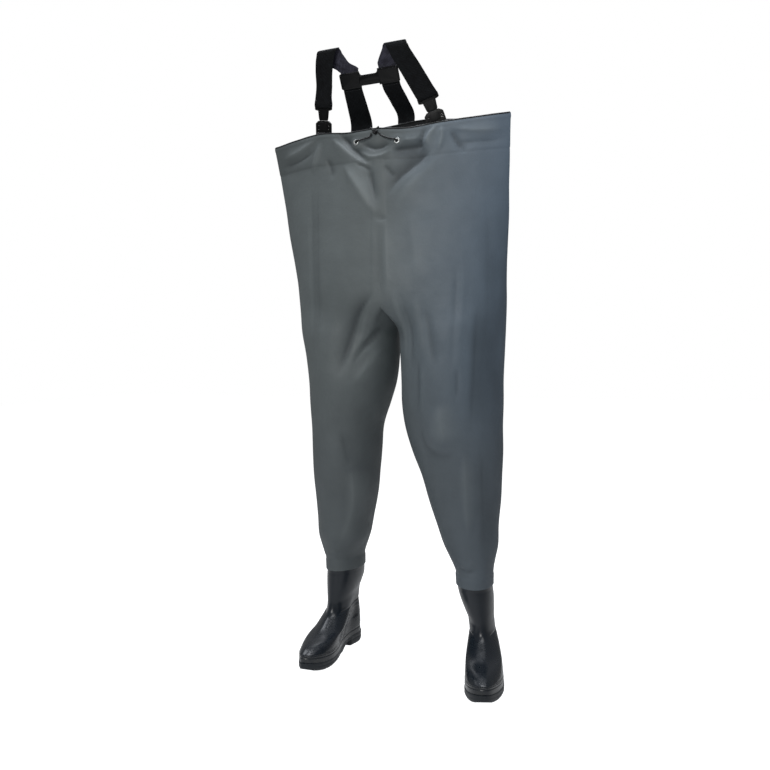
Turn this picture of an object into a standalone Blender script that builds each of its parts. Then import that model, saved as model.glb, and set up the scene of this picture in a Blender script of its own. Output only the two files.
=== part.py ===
"""Chest waders: a coated bib with two legs, welded to two moulded boots and held up by webbing braces.

The wearer faces -Y and the wearer's left side is +X. Sizes are in metres, and the soles stand on z = 0.
"""
import math

import bmesh
import bpy
import numpy as np
from mathutils import Matrix, Vector

# Places in the tables are measured from a line between the heels; the floor under the
# middle of the standing waders lies here in those measures.
FLOOR_CENTRE = (0.0066, -0.02275)

GAP = 0.0003            # clearance between touching pieces
SIDES = {"right": -1, "left": 1}

# Boots
SOLE_LENGTH = 0.302
SOLE_HALF_WIDTH = 0.0470
SOLE_HEEL_ROUND = 0.125   # rounded ends of the sole, as shares of its length
SOLE_TOE_ROUND = 0.27
BOOT_WALL = 0.0025
HEEL_PLACE = {"right": (-0.170, 0.119), "left": (0.218, 0.083)}
TOE_TURN = {"right": math.radians(3.0), "left": math.radians(21.0)}
SHAFT_LEAN = {"right": -0.009, "left": -0.016}   # outwards, at the top of the shaft
BOOT_AROUND = 24        # columns round the upper

# Half widths of the foot as shares of the half width at the ball, from heel to toe
FOOT_COLUMNS = ("share", "inner", "outer")
FOOT = (
    (0.00, 0.72, 0.73),
    (0.12, 0.75, 0.77),
    (0.30, 0.60, 0.78),
    (0.46, 0.66, 0.90),
    (0.62, 0.90, 1.00),
    (0.72, 0.98, 0.96),
    (0.85, 0.97, 0.79),
    (1.00, 0.94, 0.52),
)

# Height of the line where upper and sole meet, by share of the sole's length
FEATHER_COLUMNS = ("share", "height")
FEATHER = (
    (0.00, 0.0310),
    (0.25, 0.0285),
    (0.45, 0.0235),
    (0.65, 0.0195),
    (0.85, 0.0215),
    (1.00, 0.0270),
)

# Slices of the upper from the sole up. A slice lies at its rise plus a share of the feather
# line; its ends are rounded over a share of its length; lean is its share of the shaft's lean.
SLICE_COLUMNS = ("rise_front", "rise_back", "follow", "front", "back", "half_width",
                 "foot_share", "toe_round", "heel_round", "lean", "step")
SLICES = (
    (0.0000, 0.0000, 1.0, 0.2966, 0.0050, 0.0436, 1.00, 0.27, 0.13, 0.00, 0.0022),
    (0.0110, 0.0110, 1.0, 0.2970, 0.0045, 0.0438, 1.00, 0.27, 0.13, 0.00, 0.0022),
    (0.0125, 0.0125, 1.0, 0.2970, 0.0045, 0.0438, 1.00, 0.27, 0.13, 0.00, 0.0010),
    (0.0350, 0.0415, 0.6, 0.2890, 0.0020, 0.0438, 1.00, 0.27, 0.14, 0.00, 0.0010),
    (0.0540, 0.0640, 0.3, 0.2590, 0.0010, 0.0425, 1.00, 0.29, 0.16, 0.00, 0.0010),
    (0.0700, 0.0830, 0.0, 0.2090, 0.0015, 0.0405, 0.95, 0.34, 0.18, 0.00, 0.0010),
    (0.0820, 0.0960, 0.0, 0.1800, 0.0015, 0.0380, 0.85, 0.42, 0.21, 0.00, 0.0010),
    (0.0940, 0.1090, 0.0, 0.1600, -0.0005, 0.0355, 0.70, 0.50, 0.26, 0.02, 0.0010),
    (0.1080, 0.1270, 0.0, 0.1455, -0.0065, 0.0338, 0.50, 0.55, 0.34, 0.06, 0.0010),
    (0.1250, 0.1490, 0.0, 0.1385, -0.0140, 0.0332, 0.25, 0.53, 0.44, 0.15, 0.0010),
    (0.1270, 0.1520, 0.0, 0.1380, -0.0145, 0.0332, 0.22, 0.53, 0.44, 0.16, 0.0000),
    (0.1500, 0.1700, 0.0, 0.1355, -0.0195, 0.0372, 0.08, 0.51, 0.49, 0.40, 0.0000),
    (0.1820, 0.1900, 0.0, 0.1330, -0.0205, 0.0420, 0.00, 0.50, 0.50, 0.72, 0.0000),
    (0.2160, 0.2160, 0.0, 0.1310, -0.0145, 0.0437, 0.00, 0.50, 0.50, 1.00, 0.0000),
    (0.2460, 0.2460, 0.0, 0.1310, -0.0135, 0.0446, 0.00, 0.50, 0.50, 1.00, 0.0000),
)

# Tread line of the sole: heel block, breast, raised waist, flat forefoot and toe spring
TREAD_COLUMNS = ("share", "height")
TREAD = (
    (0.000, 0.0040),
    (0.004, 0.0030),
    (0.025, 0.0000),
    (0.060, 0.0000),
    (0.110, 0.0000),
    (0.180, 0.0000),
    (0.250, 0.0000),
    (0.268, 0.0165),
    (0.320, 0.0150),
    (0.380, 0.0080),
    (0.430, 0.0000),
    (0.490, 0.0000),
    (0.560, 0.0000),
    (0.630, 0.0000),
    (0.700, 0.0000),
    (0.780, 0.0000),
    (0.850, 0.0012),
    (0.910, 0.0035),
    (0.955, 0.0062),
    (0.985, 0.0085),
    (0.996, 0.0098),
    (1.000, 0.0110),
)

# Side of the sole from its top edge to the tread: inset from the outline, by share of thickness
SOLE_SIDE_COLUMNS = ("depth", "inset")
SOLE_SIDE = (
    (0.00, 0.0008),
    (0.08, 0.0000),
    (0.30, 0.0000),
    (0.36, 0.0019),
    (0.43, 0.0019),
    (0.49, 0.0005),
    (0.64, 0.0005),
    (0.72, 0.0020),
    (1.00, 0.0026),
)

# Grooves across the tread, by share of the sole's length
HEEL_GROOVES = (0.07, 0.13, 0.19)
FOREFOOT_GROOVES = (0.46, 0.52, 0.58, 0.64, 0.70, 0.76, 0.82)
GROOVE_WIDTH = 0.0055
GROOVE_DEPTH = 0.0045
GROOVE_REACH = 0.130    # wider than the sole, so a groove runs out at both edges

# Bib and legs
CLOTH_WALL = 0.0012
SEAM_STEP = 0.0008      # a welded lap stands this far proud
SHAFT_GROWTH = 0.0006   # the cloth opens a little above its weld
LEG_FRONT_ANGLE = math.radians(-45.0)
LEG_OUTER_SWEEP = math.radians(270.0)
OUTER_COLUMNS = 16
INNER_COLUMNS = 6
OVAL_SQUARENESS = 2.6   # 2 is an ellipse
SEAM_SHARES = (0.012, 0.015)    # edge of the centre seam's lap, as shares of half the girth

# Leg sections: ovals with their own turn; below these the leg hugs the boot's shaft
HUG_LEVELS = (0.216, 0.2395, 0.2410, 0.2480)
WELD_BAND_TOP = 0.240
LEG_COLUMNS = ("level", "centre_x", "centre_y", "half_width", "half_depth", "turn_deg")
LEGS = {
    "right": (
        (0.300, -0.1496, 0.0471, 0.0637, 0.0828, 1.1),
        (0.360, -0.1437, 0.0451, 0.0713, 0.0909, 0.7),
        (0.420, -0.1378, 0.0430, 0.0789, 0.0987, 0.4),
        (0.480, -0.1350, 0.0410, 0.0839, 0.1037, 0.1),
        (0.540, -0.1307, 0.0389, 0.0877, 0.1070, 0.0),
        (0.600, -0.1266, 0.0368, 0.0924, 0.1081, 0.0),
        (0.660, -0.1164, 0.0348, 0.1046, 0.1171, 0.0),
        (0.720, -0.1065, 0.0327, 0.1145, 0.1229, 0.0),
        (0.780, -0.1060, 0.0310, 0.1235, 0.1180, 0.0),
        (0.840, -0.1095, 0.0300, 0.1310, 0.1120, 0.0),
    ),
    "left": (
        (0.300, 0.2178, 0.0232, 0.0639, 0.0767, 18.0),
        (0.360, 0.2080, 0.0240, 0.0762, 0.0831, 13.0),
        (0.420, 0.2007, 0.0248, 0.0888, 0.0870, 8.0),
        (0.480, 0.1934, 0.0256, 0.0992, 0.0922, 4.0),
        (0.540, 0.1832, 0.0264, 0.1127, 0.0992, 0.0),
        (0.600, 0.1747, 0.0273, 0.1215, 0.1081, 0.0),
        (0.660, 0.1715, 0.0281, 0.1275, 0.1148, 0.0),
        (0.720, 0.1711, 0.0289, 0.1282, 0.1186, 0.0),
        (0.780, 0.1715, 0.0295, 0.1310, 0.1160, 0.0),
        (0.840, 0.1710, 0.0300, 0.1350, 0.1120, 0.0),
    ),
}

# Bib sections: between an oval (0) and a flat lens with sharp side folds (1)
BIB_COLUMNS = ("level", "centre_x", "centre_y", "half_width", "front", "back", "lens")
BIB = (
    (0.900, 0.031, 0.030, 0.279, 0.112, 0.115, 0.10),
    (0.960, 0.028, 0.030, 0.285, 0.106, 0.106, 0.18),
    (1.020, 0.024, 0.030, 0.294, 0.096, 0.092, 0.30),
    (1.100, 0.018, 0.030, 0.305, 0.082, 0.073, 0.45),
    (1.180, 0.013, 0.030, 0.311, 0.070, 0.055, 0.65),
    (1.260, 0.008, 0.030, 0.320, 0.058, 0.036, 0.82),
    (1.338, 0.002, 0.029, 0.329, 0.046, 0.021, 0.96),
)
COLLAR_LEVEL = BIB[-1][0]
CROTCH_LEVEL = BIB[0][0]
CROTCH_DROP = 0.034
HEM_BAND = 0.065        # depth of the hem that holds the drawcord
STEP_RUN = 0.0015       # height over which a lap steps back to the plain wall
FRONT_SHARES = (0.0, 0.45)      # parts of half the girth that are the front and the back panel
BACK_SHARES = (0.55, 1.0)
PANEL_SAMPLES = 91
PANEL_STEP = 0.004

# Rise of the collar's edge round each half, from front centre (0) to back centre (1)
EDGE_COLUMNS = ("share", "right", "left")
EDGE = (
    (0.00, 0.004, 0.004),
    (0.12, 0.003, -0.004),
    (0.25, 0.011, 0.002),
    (0.38, 0.005, 0.006),
    (0.50, -0.001, 0.011),
    (0.70, 0.008, 0.014),
    (0.86, 0.014, 0.025),
    (1.00, 0.020, 0.020),
)
EDGE_FADE_LEVEL = 1.180

# Drawcord and its eyelets
EYELET_X = {"right": -0.056, "left": 0.057}
EYELET_LEVEL = {"right": 1.311, "left": 1.306}
EYELET_HOLE = 0.0047
EYELET_HOLE_DEPTH = 0.020
EYELET_STEPS = 12
CORD_RADIUS = 0.0019
CORD_POINTS = 14
KNOT_PLACE = (-0.001, -0.0245, 1.3330)
KNOT_RADII = (0.0075, 0.0052, 0.0062)

# Turned profile of an eyelet: rim, flange on the cloth, tube through the hole
EYELET_COLUMNS = ("radius", "height")
EYELET_PROFILE = (
    (0.0080, 0.0007),
    (0.0080, GAP),
    (0.0043, GAP),
    (0.0043, -0.0034),
    (0.0036, -0.0034),
    (0.0036, 0.0012),
    (0.0048, 0.0018),
    (0.0068, 0.0015),
)

# The cord leaves its eyelet and hangs in a shallow curve: share of the way to the knot,
# distance off the cloth and sag below the straight line
CORD_COLUMNS = ("share", "off", "sag")
CORD_ROUTE = (
    (0.00, -0.0010, 0.0000),
    (0.04, 0.0062, -0.0008),
    (0.22, 0.0062, 0.0042),
    (0.55, 0.0036, 0.0038),
    (0.78, 0.0036, 0.0042),
)
CORD_END_DROP = 0.0034

# Braces
STRAP_WIDTH = 0.050
TAB_WIDTH = 0.043
STRAP_THICK = 0.0020
PLY_OFFSET = 0.0012     # half the distance between two plies that lie together
TAB_X = {"right": -0.160, "left": 0.155}
TAB_SHARE = 0.25        # of half the girth, where the tab stands
TAB_SET_BACK = 0.0094   # from the front of the bib to the middle of the tab
TAB_SEWN_LEVEL = 1.283
TAB_CLEAR = 0.0012
TAB_RUN = 0.0120        # both plies run straight past the foot of the socket
TAB_MIDDLE = 0.45       # share of the way up where the plies start to open
TAB_BOW = (0.0004, 0.0010)      # front and back ply, behind the straight line
BUCKLE_UP = {"right": (0.134, -0.215, 0.967), "left": (-0.290, -0.165, 0.943)}
SOCKET_BAR_RISE = {"right": -0.002, "left": -0.006}
SOCKET_THICK = 0.0062
SOCKET_LENGTH = 0.036
PLUG_THICK = 0.0045
PLUG_LENGTH = 0.036
BAR_HALF_HEIGHT = 0.0022
SLOT_HEIGHT = 0.0056
SLOT_PLAY = 0.0005      # between webbing and the end of its slot
PLUG_LOOP = 0.0048
SOCKET_LOOP = 0.0052

# Right half of each buckle outline from the top down: across from the strap's own edge or
# from the middle line, and height from the bar
SOCKET_MARGIN = 0.0028
SOCKET_SHOULDER = (0.0160, 0.0065)      # half width of the mouth and drop of the sloped shoulder
SOCKET_FOOT = (0.0015, 0.0040, 0.0055)  # corner, and heights of its two ends under the bar
RELEASE_SLOT = (0.0022, 0.0140, 0.0240)     # half width, low and high end of a side arm's slot
RELEASE_SLOT_X = 0.0165
PLUG_MARGIN = 0.0016
PLUG_FRAME = ((0.0015, 0.0040), (0.0000, 0.0025), (0.0000, -0.0085), (0.0030, -0.0105))
PLUG_TONGUE = ((0.0165, -0.0117), (0.0138, -PLUG_LENGTH + 0.0040), (0.0118, -PLUG_LENGTH))

# Route of each shoulder strap above its buckle, over the shoulder and down to the yoke
SHOULDER_ROUTE = {
    "right": (
        (-0.1400, -0.0260, 1.4600),
        (-0.1330, -0.0370, 1.4960),
        (-0.1240, -0.0450, 1.5270),
        (-0.1185, -0.0462, 1.5400),
        (-0.1150, -0.0430, 1.5450),
        (-0.1120, -0.0375, 1.5415),
        (-0.1070, -0.0325, 1.5290),
        (-0.0965, -0.0280, 1.5110),
    ),
    "left": (
        (0.1035, -0.0340, 1.4680),
        (0.0830, -0.0435, 1.5060),
        (0.0735, -0.0465, 1.5250),
        (0.0673, -0.0440, 1.5350),
        (0.0615, -0.0385, 1.5340),
        (0.0550, -0.0330, 1.5240),
        (0.0450, -0.0280, 1.5090),
    ),
}
SHOULDER_POINTS = 26
FLAT_POINTS = 7         # last points of the strap, flat on the yoke
TAIL_LENGTH = 0.050     # end of the strap that is folded back behind the plug's bar
PLY_RUN = 0.030         # both plies lie together over this length
YOKE_RUN = 0.0225       # a strap lies flat on the yoke over this length
YOKE_CLEAR = 0.0012     # a strap that comes in at a slant lies this far off the yoke
YOKE_SPLIT = 0.001      # half the distance between the two straps on a yoke's leg
BACK_STRAP_X = {"right": -0.076, "left": 0.050}
BACK_STRAP_FOOT = {"right": 0.068, "left": 0.045}     # width where it is sewn on
BACK_STRAP_SEWN_LEVEL = 1.288
BACK_STRAP_CLEAR = 0.0010
BACK_STRAP_RISE = 0.022     # height over the collar where the strap leaves the panel's plane
BACK_STRAP_BOW = 0.002
BACK_STRAP_POINTS = 16
EDGE_INSET = 0.002      # from the collar's level to a place that is still on the cloth

# Yoke: an H-shaped moulding on the back
YOKE_PLACE = (-0.0188, -0.0120, 1.4690)
YOKE_TILT = math.radians(24.0)
YOKE_THICK = 0.0036
YOKE_LEG_X = 0.0531
YOKE_LEG_HALF = 0.0280
YOKE_HALF_HEIGHT = 0.0195
YOKE_BAR_HALF = 0.0095
YOKE_FILLET = 0.0080
YOKE_CORNER = 0.0050
ARC_STEPS = 6


def table(names, rows):
    """Turns a table into arrays by column name."""
    return {name: np.array([row[i] for row in rows], float) for i, name in enumerate(names)}


def through(knots, values, at):
    """Smooth curve through values at the knots, read at the given places."""
    knots = np.asarray(knots, float)
    values = np.asarray(values, float)
    at = np.clip(np.asarray(at, float), knots[0], knots[-1])
    slopes = np.gradient(values, knots, axis=0)
    low = np.clip(np.searchsorted(knots, at, side="right") - 1, 0, len(knots) - 2)
    shape = at.shape + (1,) * (values.ndim - 1)
    span = (knots[low + 1] - knots[low]).reshape(shape)
    t = ((at - knots[low]) / (knots[low + 1] - knots[low])).reshape(shape)
    ease = t * t * (3.0 - 2.0 * t)
    leave = t * (1.0 - t) ** 2
    arrive = t * t * (t - 1.0)
    return (values[low] + (values[low + 1] - values[low]) * ease
            + span * (slopes[low] * leave + slopes[low + 1] * arrive))


def smooth_route(points, count):
    """Evenly spaced points on a smooth curve through a route's own points."""
    points = np.asarray(points, float)
    chords = np.linalg.norm(np.diff(points, axis=0), axis=1)
    along = np.concatenate(([0.0], np.cumsum(chords)))
    return through(along, points, np.linspace(0.0, along[-1], count))


FOOT_TABLE = table(FOOT_COLUMNS, FOOT)
FEATHER_TABLE = table(FEATHER_COLUMNS, FEATHER)
SLICE_TABLE = table(SLICE_COLUMNS, SLICES)
TREAD_TABLE = table(TREAD_COLUMNS, TREAD)
SIDE_TABLE = table(SOLE_SIDE_COLUMNS, SOLE_SIDE)
BIB_TABLE = table(BIB_COLUMNS, BIB)
EDGE_TABLE = table(EDGE_COLUMNS, EDGE)


def surface_material(name, colour, roughness, metallic=0.0):
    """Plain Principled material from an sRGB hex colour."""
    channels = [int(colour[i:i + 2], 16) / 255.0 for i in (1, 3, 5)]
    linear = [c / 12.92 if c <= 0.04045 else ((c + 0.055) / 1.055) ** 2.4 for c in channels]
    material = bpy.data.materials.new(name)
    material.use_nodes = True
    shader = material.node_tree.nodes["Principled BSDF"]
    shader.inputs["Base Color"].default_value = (*linear, 1.0)
    shader.inputs["Roughness"].default_value = roughness
    shader.inputs["Metallic"].default_value = metallic
    material.diffuse_color = (*linear, 1.0)
    return material


class Shop:
    """The collections, the floor's centre and the materials that every piece uses."""

    def __init__(self):
        for item in list(bpy.data.objects):
            bpy.data.objects.remove(item, do_unlink=True)
        self.parts = self.collection("chest_waders")
        self.cutters = self.collection("cutters")
        self.centre = bpy.data.objects.new("floor_centre", None)
        self.centre.location = (-FLOOR_CENTRE[0], -FLOOR_CENTRE[1], 0.0)
        self.parts.objects.link(self.centre)
        self.cloth = surface_material("coated_cloth", "#565E61", 0.55)
        self.boot = surface_material("moulded_pvc", "#202529", 0.32)
        self.sole = surface_material("sole_pvc", "#1A1D20", 0.55)
        self.webbing = surface_material("webbing", "#15181A", 0.80)
        self.buckle = surface_material("buckle_plastic", "#26282B", 0.45)
        self.yoke = surface_material("yoke_plastic", "#0E0F12", 0.38)
        self.metal = surface_material("eyelet_metal", "#B9BCBC", 0.28, 1.0)
        self.cord = surface_material("drawcord", "#101214", 0.75)

    @staticmethod
    def collection(name):
        """New collection in the scene."""
        made = bpy.data.collections.new(name)
        bpy.context.scene.collection.children.link(made)
        return made

    def add(self, name, data, material, smooth=True):
        """Adds a sub-part under the floor's centre."""
        data.materials.append(material)
        item = bpy.data.objects.new(name, data)
        item.parent = self.centre
        self.parts.objects.link(item)
        if smooth and isinstance(data, bpy.types.Mesh):
            data.shade_smooth()
            data.set_sharp_from_angle(angle=math.radians(35.0))
        return item

    def add_cutter(self, name, mesh):
        """Adds a cutter, which is not a part."""
        item = bpy.data.objects.new(name, mesh)
        item.parent = self.centre
        item.hide_render = True
        item.display_type = "WIRE"
        self.cutters.objects.link(item)
        return item


def cut(item, cutter):
    """Takes the cutter's shape out of a part."""
    modifier = item.modifiers.new("cut", "BOOLEAN")
    modifier.operation = "DIFFERENCE"
    modifier.solver = "EXACT"
    modifier.object = cutter


def thicken(item, thickness):
    """Gives an open outer surface its wall, inwards."""
    modifier = item.modifiers.new("wall", "SOLIDIFY")
    modifier.thickness = thickness
    modifier.offset = -1.0
    modifier.use_even_offset = True
    modifier.use_rim = True


def loft(name, rings, closed=True, capped=False):
    """Mesh through rings of points, ring after ring, merged where points coincide."""
    count = len(rings[0])
    build = bmesh.new()
    rows = [[build.verts.new(point) for point in ring] for ring in rings]
    last = count if closed else count - 1
    for low, high in zip(rows, rows[1:]):
        for i in range(last):
            j = (i + 1) % count
            build.faces.new((low[i], low[j], high[j], high[i]))
    if capped:
        build.faces.new(list(reversed(rows[0])))
        build.faces.new(rows[-1])
    return finish_mesh(name, build)


def finish_mesh(name, build):
    """Merges doubles, points the faces outwards and returns the mesh."""
    bmesh.ops.remove_doubles(build, verts=build.verts[:], dist=0.00001)
    bmesh.ops.dissolve_degenerate(build, edges=build.edges[:], dist=0.00001)
    bmesh.ops.recalc_face_normals(build, faces=build.faces[:])
    mesh = bpy.data.meshes.new(name)
    build.to_mesh(mesh)
    build.free()
    return mesh


def end_round(distance, radius):
    """Elliptic rounding of an outline's end: 0 at the tip, 1 past the radius."""
    inside = np.clip(1.0 - distance / radius, 0.0, 1.0)
    return np.sqrt(1.0 - inside ** 2)


def foot_half_width(share, outward, foot_share):
    """Relative half width on the outer or inner side, fading to 1 on the shaft."""
    foot = np.where(outward, through(FOOT_TABLE["share"], FOOT_TABLE["outer"], share),
                    through(FOOT_TABLE["share"], FOOT_TABLE["inner"], share))
    return 1.0 + (foot - 1.0) * foot_share


def feather_height(forward):
    """Height of the line between upper and sole."""
    return through(FEATHER_TABLE["share"], FEATHER_TABLE["height"], forward / SOLE_LENGTH)


def boot_slice(side, row, angles):
    """One slice of the upper as outward, forward and up, round from the heel by the outer side."""
    size = {name: SLICE_TABLE[name][row] for name in SLICE_COLUMNS}
    share = (1.0 - np.cos(angles)) / 2.0
    length = size["front"] - size["back"]
    forward = size["back"] + length * share
    outer_side = np.sin(angles) >= 0.0
    width = (size["half_width"] * foot_half_width(share, outer_side, size["foot_share"])
             * end_round(length * share, size["heel_round"] * length)
             * end_round(length * (1.0 - share), size["toe_round"] * length))
    outward = np.where(outer_side, width, -width) + size["lean"] * SHAFT_LEAN[side]
    flat = np.column_stack((outward, forward))
    along = np.roll(flat, -1, axis=0) - np.roll(flat, 1, axis=0)
    normal = np.column_stack((along[:, 1], -along[:, 0]))
    normal /= np.linalg.norm(normal, axis=1)[:, None]
    flat = flat + normal * size["step"]
    up = (size["rise_back"] + (size["rise_front"] - size["rise_back"]) * share
          + size["follow"] * feather_height(flat[:, 1]))
    return np.column_stack((flat, up))


def place_on_boot(item, side):
    """Stands a piece that is modelled from its heel's end where that boot stands."""
    item.location = (*HEEL_PLACE[side], 0.0)
    item.rotation_euler = (0.0, 0.0, TOE_TURN[side])


def boot_axes(points, side):
    """Outward, forward, up as the boot's own x, y, z, mirrored for the two sides."""
    return np.column_stack((SIDES[side] * points[:, 0], -points[:, 1], points[:, 2]))


def boot_to_garment(points, side):
    """Outward, forward, up on a boot as places on the garment."""
    own = boot_axes(points, side)
    turn = TOE_TURN[side]
    x = HEEL_PLACE[side][0] + own[:, 0] * math.cos(turn) - own[:, 1] * math.sin(turn)
    y = HEEL_PLACE[side][1] + own[:, 0] * math.sin(turn) + own[:, 1] * math.cos(turn)
    return np.column_stack((x, y, own[:, 2]))


def boot_upper(shop, side):
    """Hollow moulded upper, open underneath and at the top of its shaft."""
    angles = np.arange(BOOT_AROUND) * math.tau / BOOT_AROUND
    rings = [boot_axes(boot_slice(side, row, angles), side) for row in range(len(SLICES))]
    item = shop.add("boot_upper_" + side, loft("boot_upper_" + side, rings), shop.boot)
    place_on_boot(item, side)
    thicken(item, BOOT_WALL)


def sole_section(share, tread, side):
    """Closed cross-section of the sole at a share of its length, mirrored for the two sides."""
    at = np.array([share])
    ends = float(end_round(at, SOLE_HEEL_ROUND)[0] * end_round(1.0 - at, SOLE_TOE_ROUND)[0])
    forward = share * SOLE_LENGTH
    top = float(feather_height(np.array([forward]))[0]) - GAP
    points = []
    for outward in (True, False):
        half = SOLE_HALF_WIDTH * float(foot_half_width(at, np.array([outward]), 1.0)[0]) * ends
        order = 1 if outward else -1
        for depth, inset in zip(SIDE_TABLE["depth"][::order], SIDE_TABLE["inset"][::order]):
            points.append((order * max(half - inset * ends, 0.0), forward,
                           top + (tread - top) * depth))
    return boot_axes(np.array(points), side)


def outsole(shop, side):
    """Sole with heel block, breast, raised waist, toe spring, stepped sides and cut lugs."""
    rings = [sole_section(share, tread, side) for share, tread in TREAD]
    item = shop.add("outsole_" + side, loft("outsole_" + side, rings), shop.sole)
    place_on_boot(item, side)
    build = bmesh.new()
    for share in HEEL_GROOVES + FOREFOOT_GROOVES:
        lift = float(np.interp(share, TREAD_TABLE["share"], TREAD_TABLE["height"]))
        size = Matrix.Diagonal((GROOVE_REACH, GROOVE_WIDTH, 2.0 * GROOVE_DEPTH, 1.0))
        place = Matrix.Translation((0.0, -share * SOLE_LENGTH, lift))
        bmesh.ops.create_cube(build, size=1.0, matrix=place @ size)
    cutter = shop.add_cutter("tread_grooves_" + side, finish_mesh("tread_grooves_" + side, build))
    place_on_boot(cutter, side)
    cut(item, cutter)


def leg_hug(side, level, angles):
    """Leg section that lies on the boot's shaft, in the garment's places."""
    low, high = len(SLICES) - 2, len(SLICES) - 1
    bottom, top = SLICE_TABLE["rise_front"][low], SLICE_TABLE["rise_front"][high]
    part = (level - bottom) / (top - bottom)
    size = {name: SLICE_TABLE[name][low] + part * (SLICE_TABLE[name][high] - SLICE_TABLE[name][low])
            for name in SLICE_COLUMNS}
    clear = GAP + CLOTH_WALL + SHAFT_GROWTH
    half_depth = (size["front"] - size["back"]) / 2.0 + clear
    middle = (size["front"] + size["back"]) / 2.0
    points = np.column_stack((
        size["lean"] * SHAFT_LEAN[side] + (size["half_width"] + clear) * np.sin(angles),
        middle + half_depth * np.cos(angles),
        np.full(len(angles), level),
    ))
    return boot_to_garment(points, side)


def leg_oval(side, row, angles):
    """Leg section from the table, in the garment's places."""
    size = dict(zip(LEG_COLUMNS, row))
    turn = math.radians(size["turn_deg"])
    outward = SIDES[side] * size["half_width"] * np.sin(angles)
    forward = size["half_depth"] * np.cos(angles)
    x = size["centre_x"] + outward * math.cos(turn) + forward * math.sin(turn)
    y = size["centre_y"] + outward * math.sin(turn) - forward * math.cos(turn)
    return np.column_stack((x, y, np.full(len(angles), size["level"])))


def bib_section(side, row, shares):
    """Half a bib section from front centre round the side to back centre."""
    level, centre_x, centre_y, half_width, front, back, lens = row
    depth = np.where(shares < 0.5, front, back)
    power = 2.0 / OVAL_SQUARENESS
    cosine = np.cos(math.pi * shares)
    oval_x = half_width * np.clip(np.sin(math.pi * shares), 0.0, 1.0) ** power
    oval_y = -depth * np.sign(cosine) * np.abs(cosine) ** power
    across = 1.0 - np.abs(1.0 - 2.0 * shares)
    lens_x = half_width * across
    lens_y = np.where(shares < 0.5, -1.0, 1.0) * depth * (1.0 - across ** 2)
    x = centre_x + SIDES[side] * (oval_x + (lens_x - oval_x) * lens)
    y = centre_y + oval_y + (lens_y - oval_y) * lens
    return np.column_stack((x, y, np.full(len(shares), level)))


def edge_rise(side, levels, shares):
    """How far the collar's uneven edge lifts the cloth at each level and share."""
    rise = through(EDGE_TABLE["share"], EDGE_TABLE[side], shares)
    fade = np.clip((levels - EDGE_FADE_LEVEL) / (COLLAR_LEVEL - EDGE_FADE_LEVEL), 0.0, 1.0)
    return fade[:, None] * rise[None, :]


def outer_surface(side, levels, shares):
    """Cloth from hem to collar, front centre round the outer side to back centre."""
    angles = LEG_FRONT_ANGLE + LEG_OUTER_SWEEP * shares
    rows = [leg_hug(side, level, angles) for level in HUG_LEVELS]
    rows += [leg_oval(side, row, angles) for row in LEGS[side]]
    rows += [bib_section(side, row, shares) for row in BIB]
    knots = list(HUG_LEVELS) + [row[0] for row in LEGS[side]] + [row[0] for row in BIB]
    grid = through(knots, np.array(rows), levels)
    grid[:, :, 2] += edge_rise(side, np.asarray(levels), shares)
    return grid


def inner_surface(side, levels, shares):
    """Inside of a leg from hem to crotch, from the back column round to the front column."""
    angles = LEG_FRONT_ANGLE + LEG_OUTER_SWEEP + (math.tau - LEG_OUTER_SWEEP) * shares
    rows = [leg_hug(side, level, angles) for level in HUG_LEVELS]
    rows += [leg_oval(side, row, angles) for row in LEGS[side]]
    back = bib_section(side, BIB[0], np.array([1.0]))[0]
    front = bib_section(side, BIB[0], np.array([0.0]))[0]
    crotch = back + (front - back) * shares[:, None]
    crotch[:, 2] -= CROTCH_DROP * (1.0 - (2.0 * shares - 1.0) ** 2)
    rows.append(crotch)
    knots = list(HUG_LEVELS) + [row[0] for row in LEGS[side]] + [CROTCH_LEVEL]
    return through(knots, np.array(rows), levels)


def grid_normals(grid, outward):
    """Outward unit normals of a grid of points."""
    along = np.gradient(grid, axis=0)
    across = np.gradient(grid, axis=1)
    normal = np.cross(along, across) * outward
    return normal / np.linalg.norm(normal, axis=2)[:, :, None]


def lap_steps(levels, shares):
    """1 where the cloth is a welded lap: ankle band, collar hem and centre seams."""
    levels = np.asarray(levels)[:, None]
    shares = np.asarray(shares)[None, :]
    edge = SEAM_SHARES[0] + 1.0e-6
    seam = ((shares < edge) | (shares > 1.0 - edge)) & (levels >= CROTCH_LEVEL)
    band = levels < WELD_BAND_TOP
    hem = levels > COLLAR_LEVEL - HEM_BAND
    return np.where(seam | band | hem, 1.0, 0.0)


def body_levels():
    """Heights of the mesh's rows: those of the tables, with pairs of rows at each lap's edge."""
    hem = COLLAR_LEVEL - HEM_BAND
    legs = list(HUG_LEVELS) + [row[0] for row in LEGS["right"]] + [CROTCH_LEVEL]
    bib = [row[0] for row in BIB[1:-1]] + [hem - STEP_RUN / 2.0, hem + STEP_RUN / 2.0, COLLAR_LEVEL]
    return np.array(legs), np.array(legs + bib)


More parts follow.
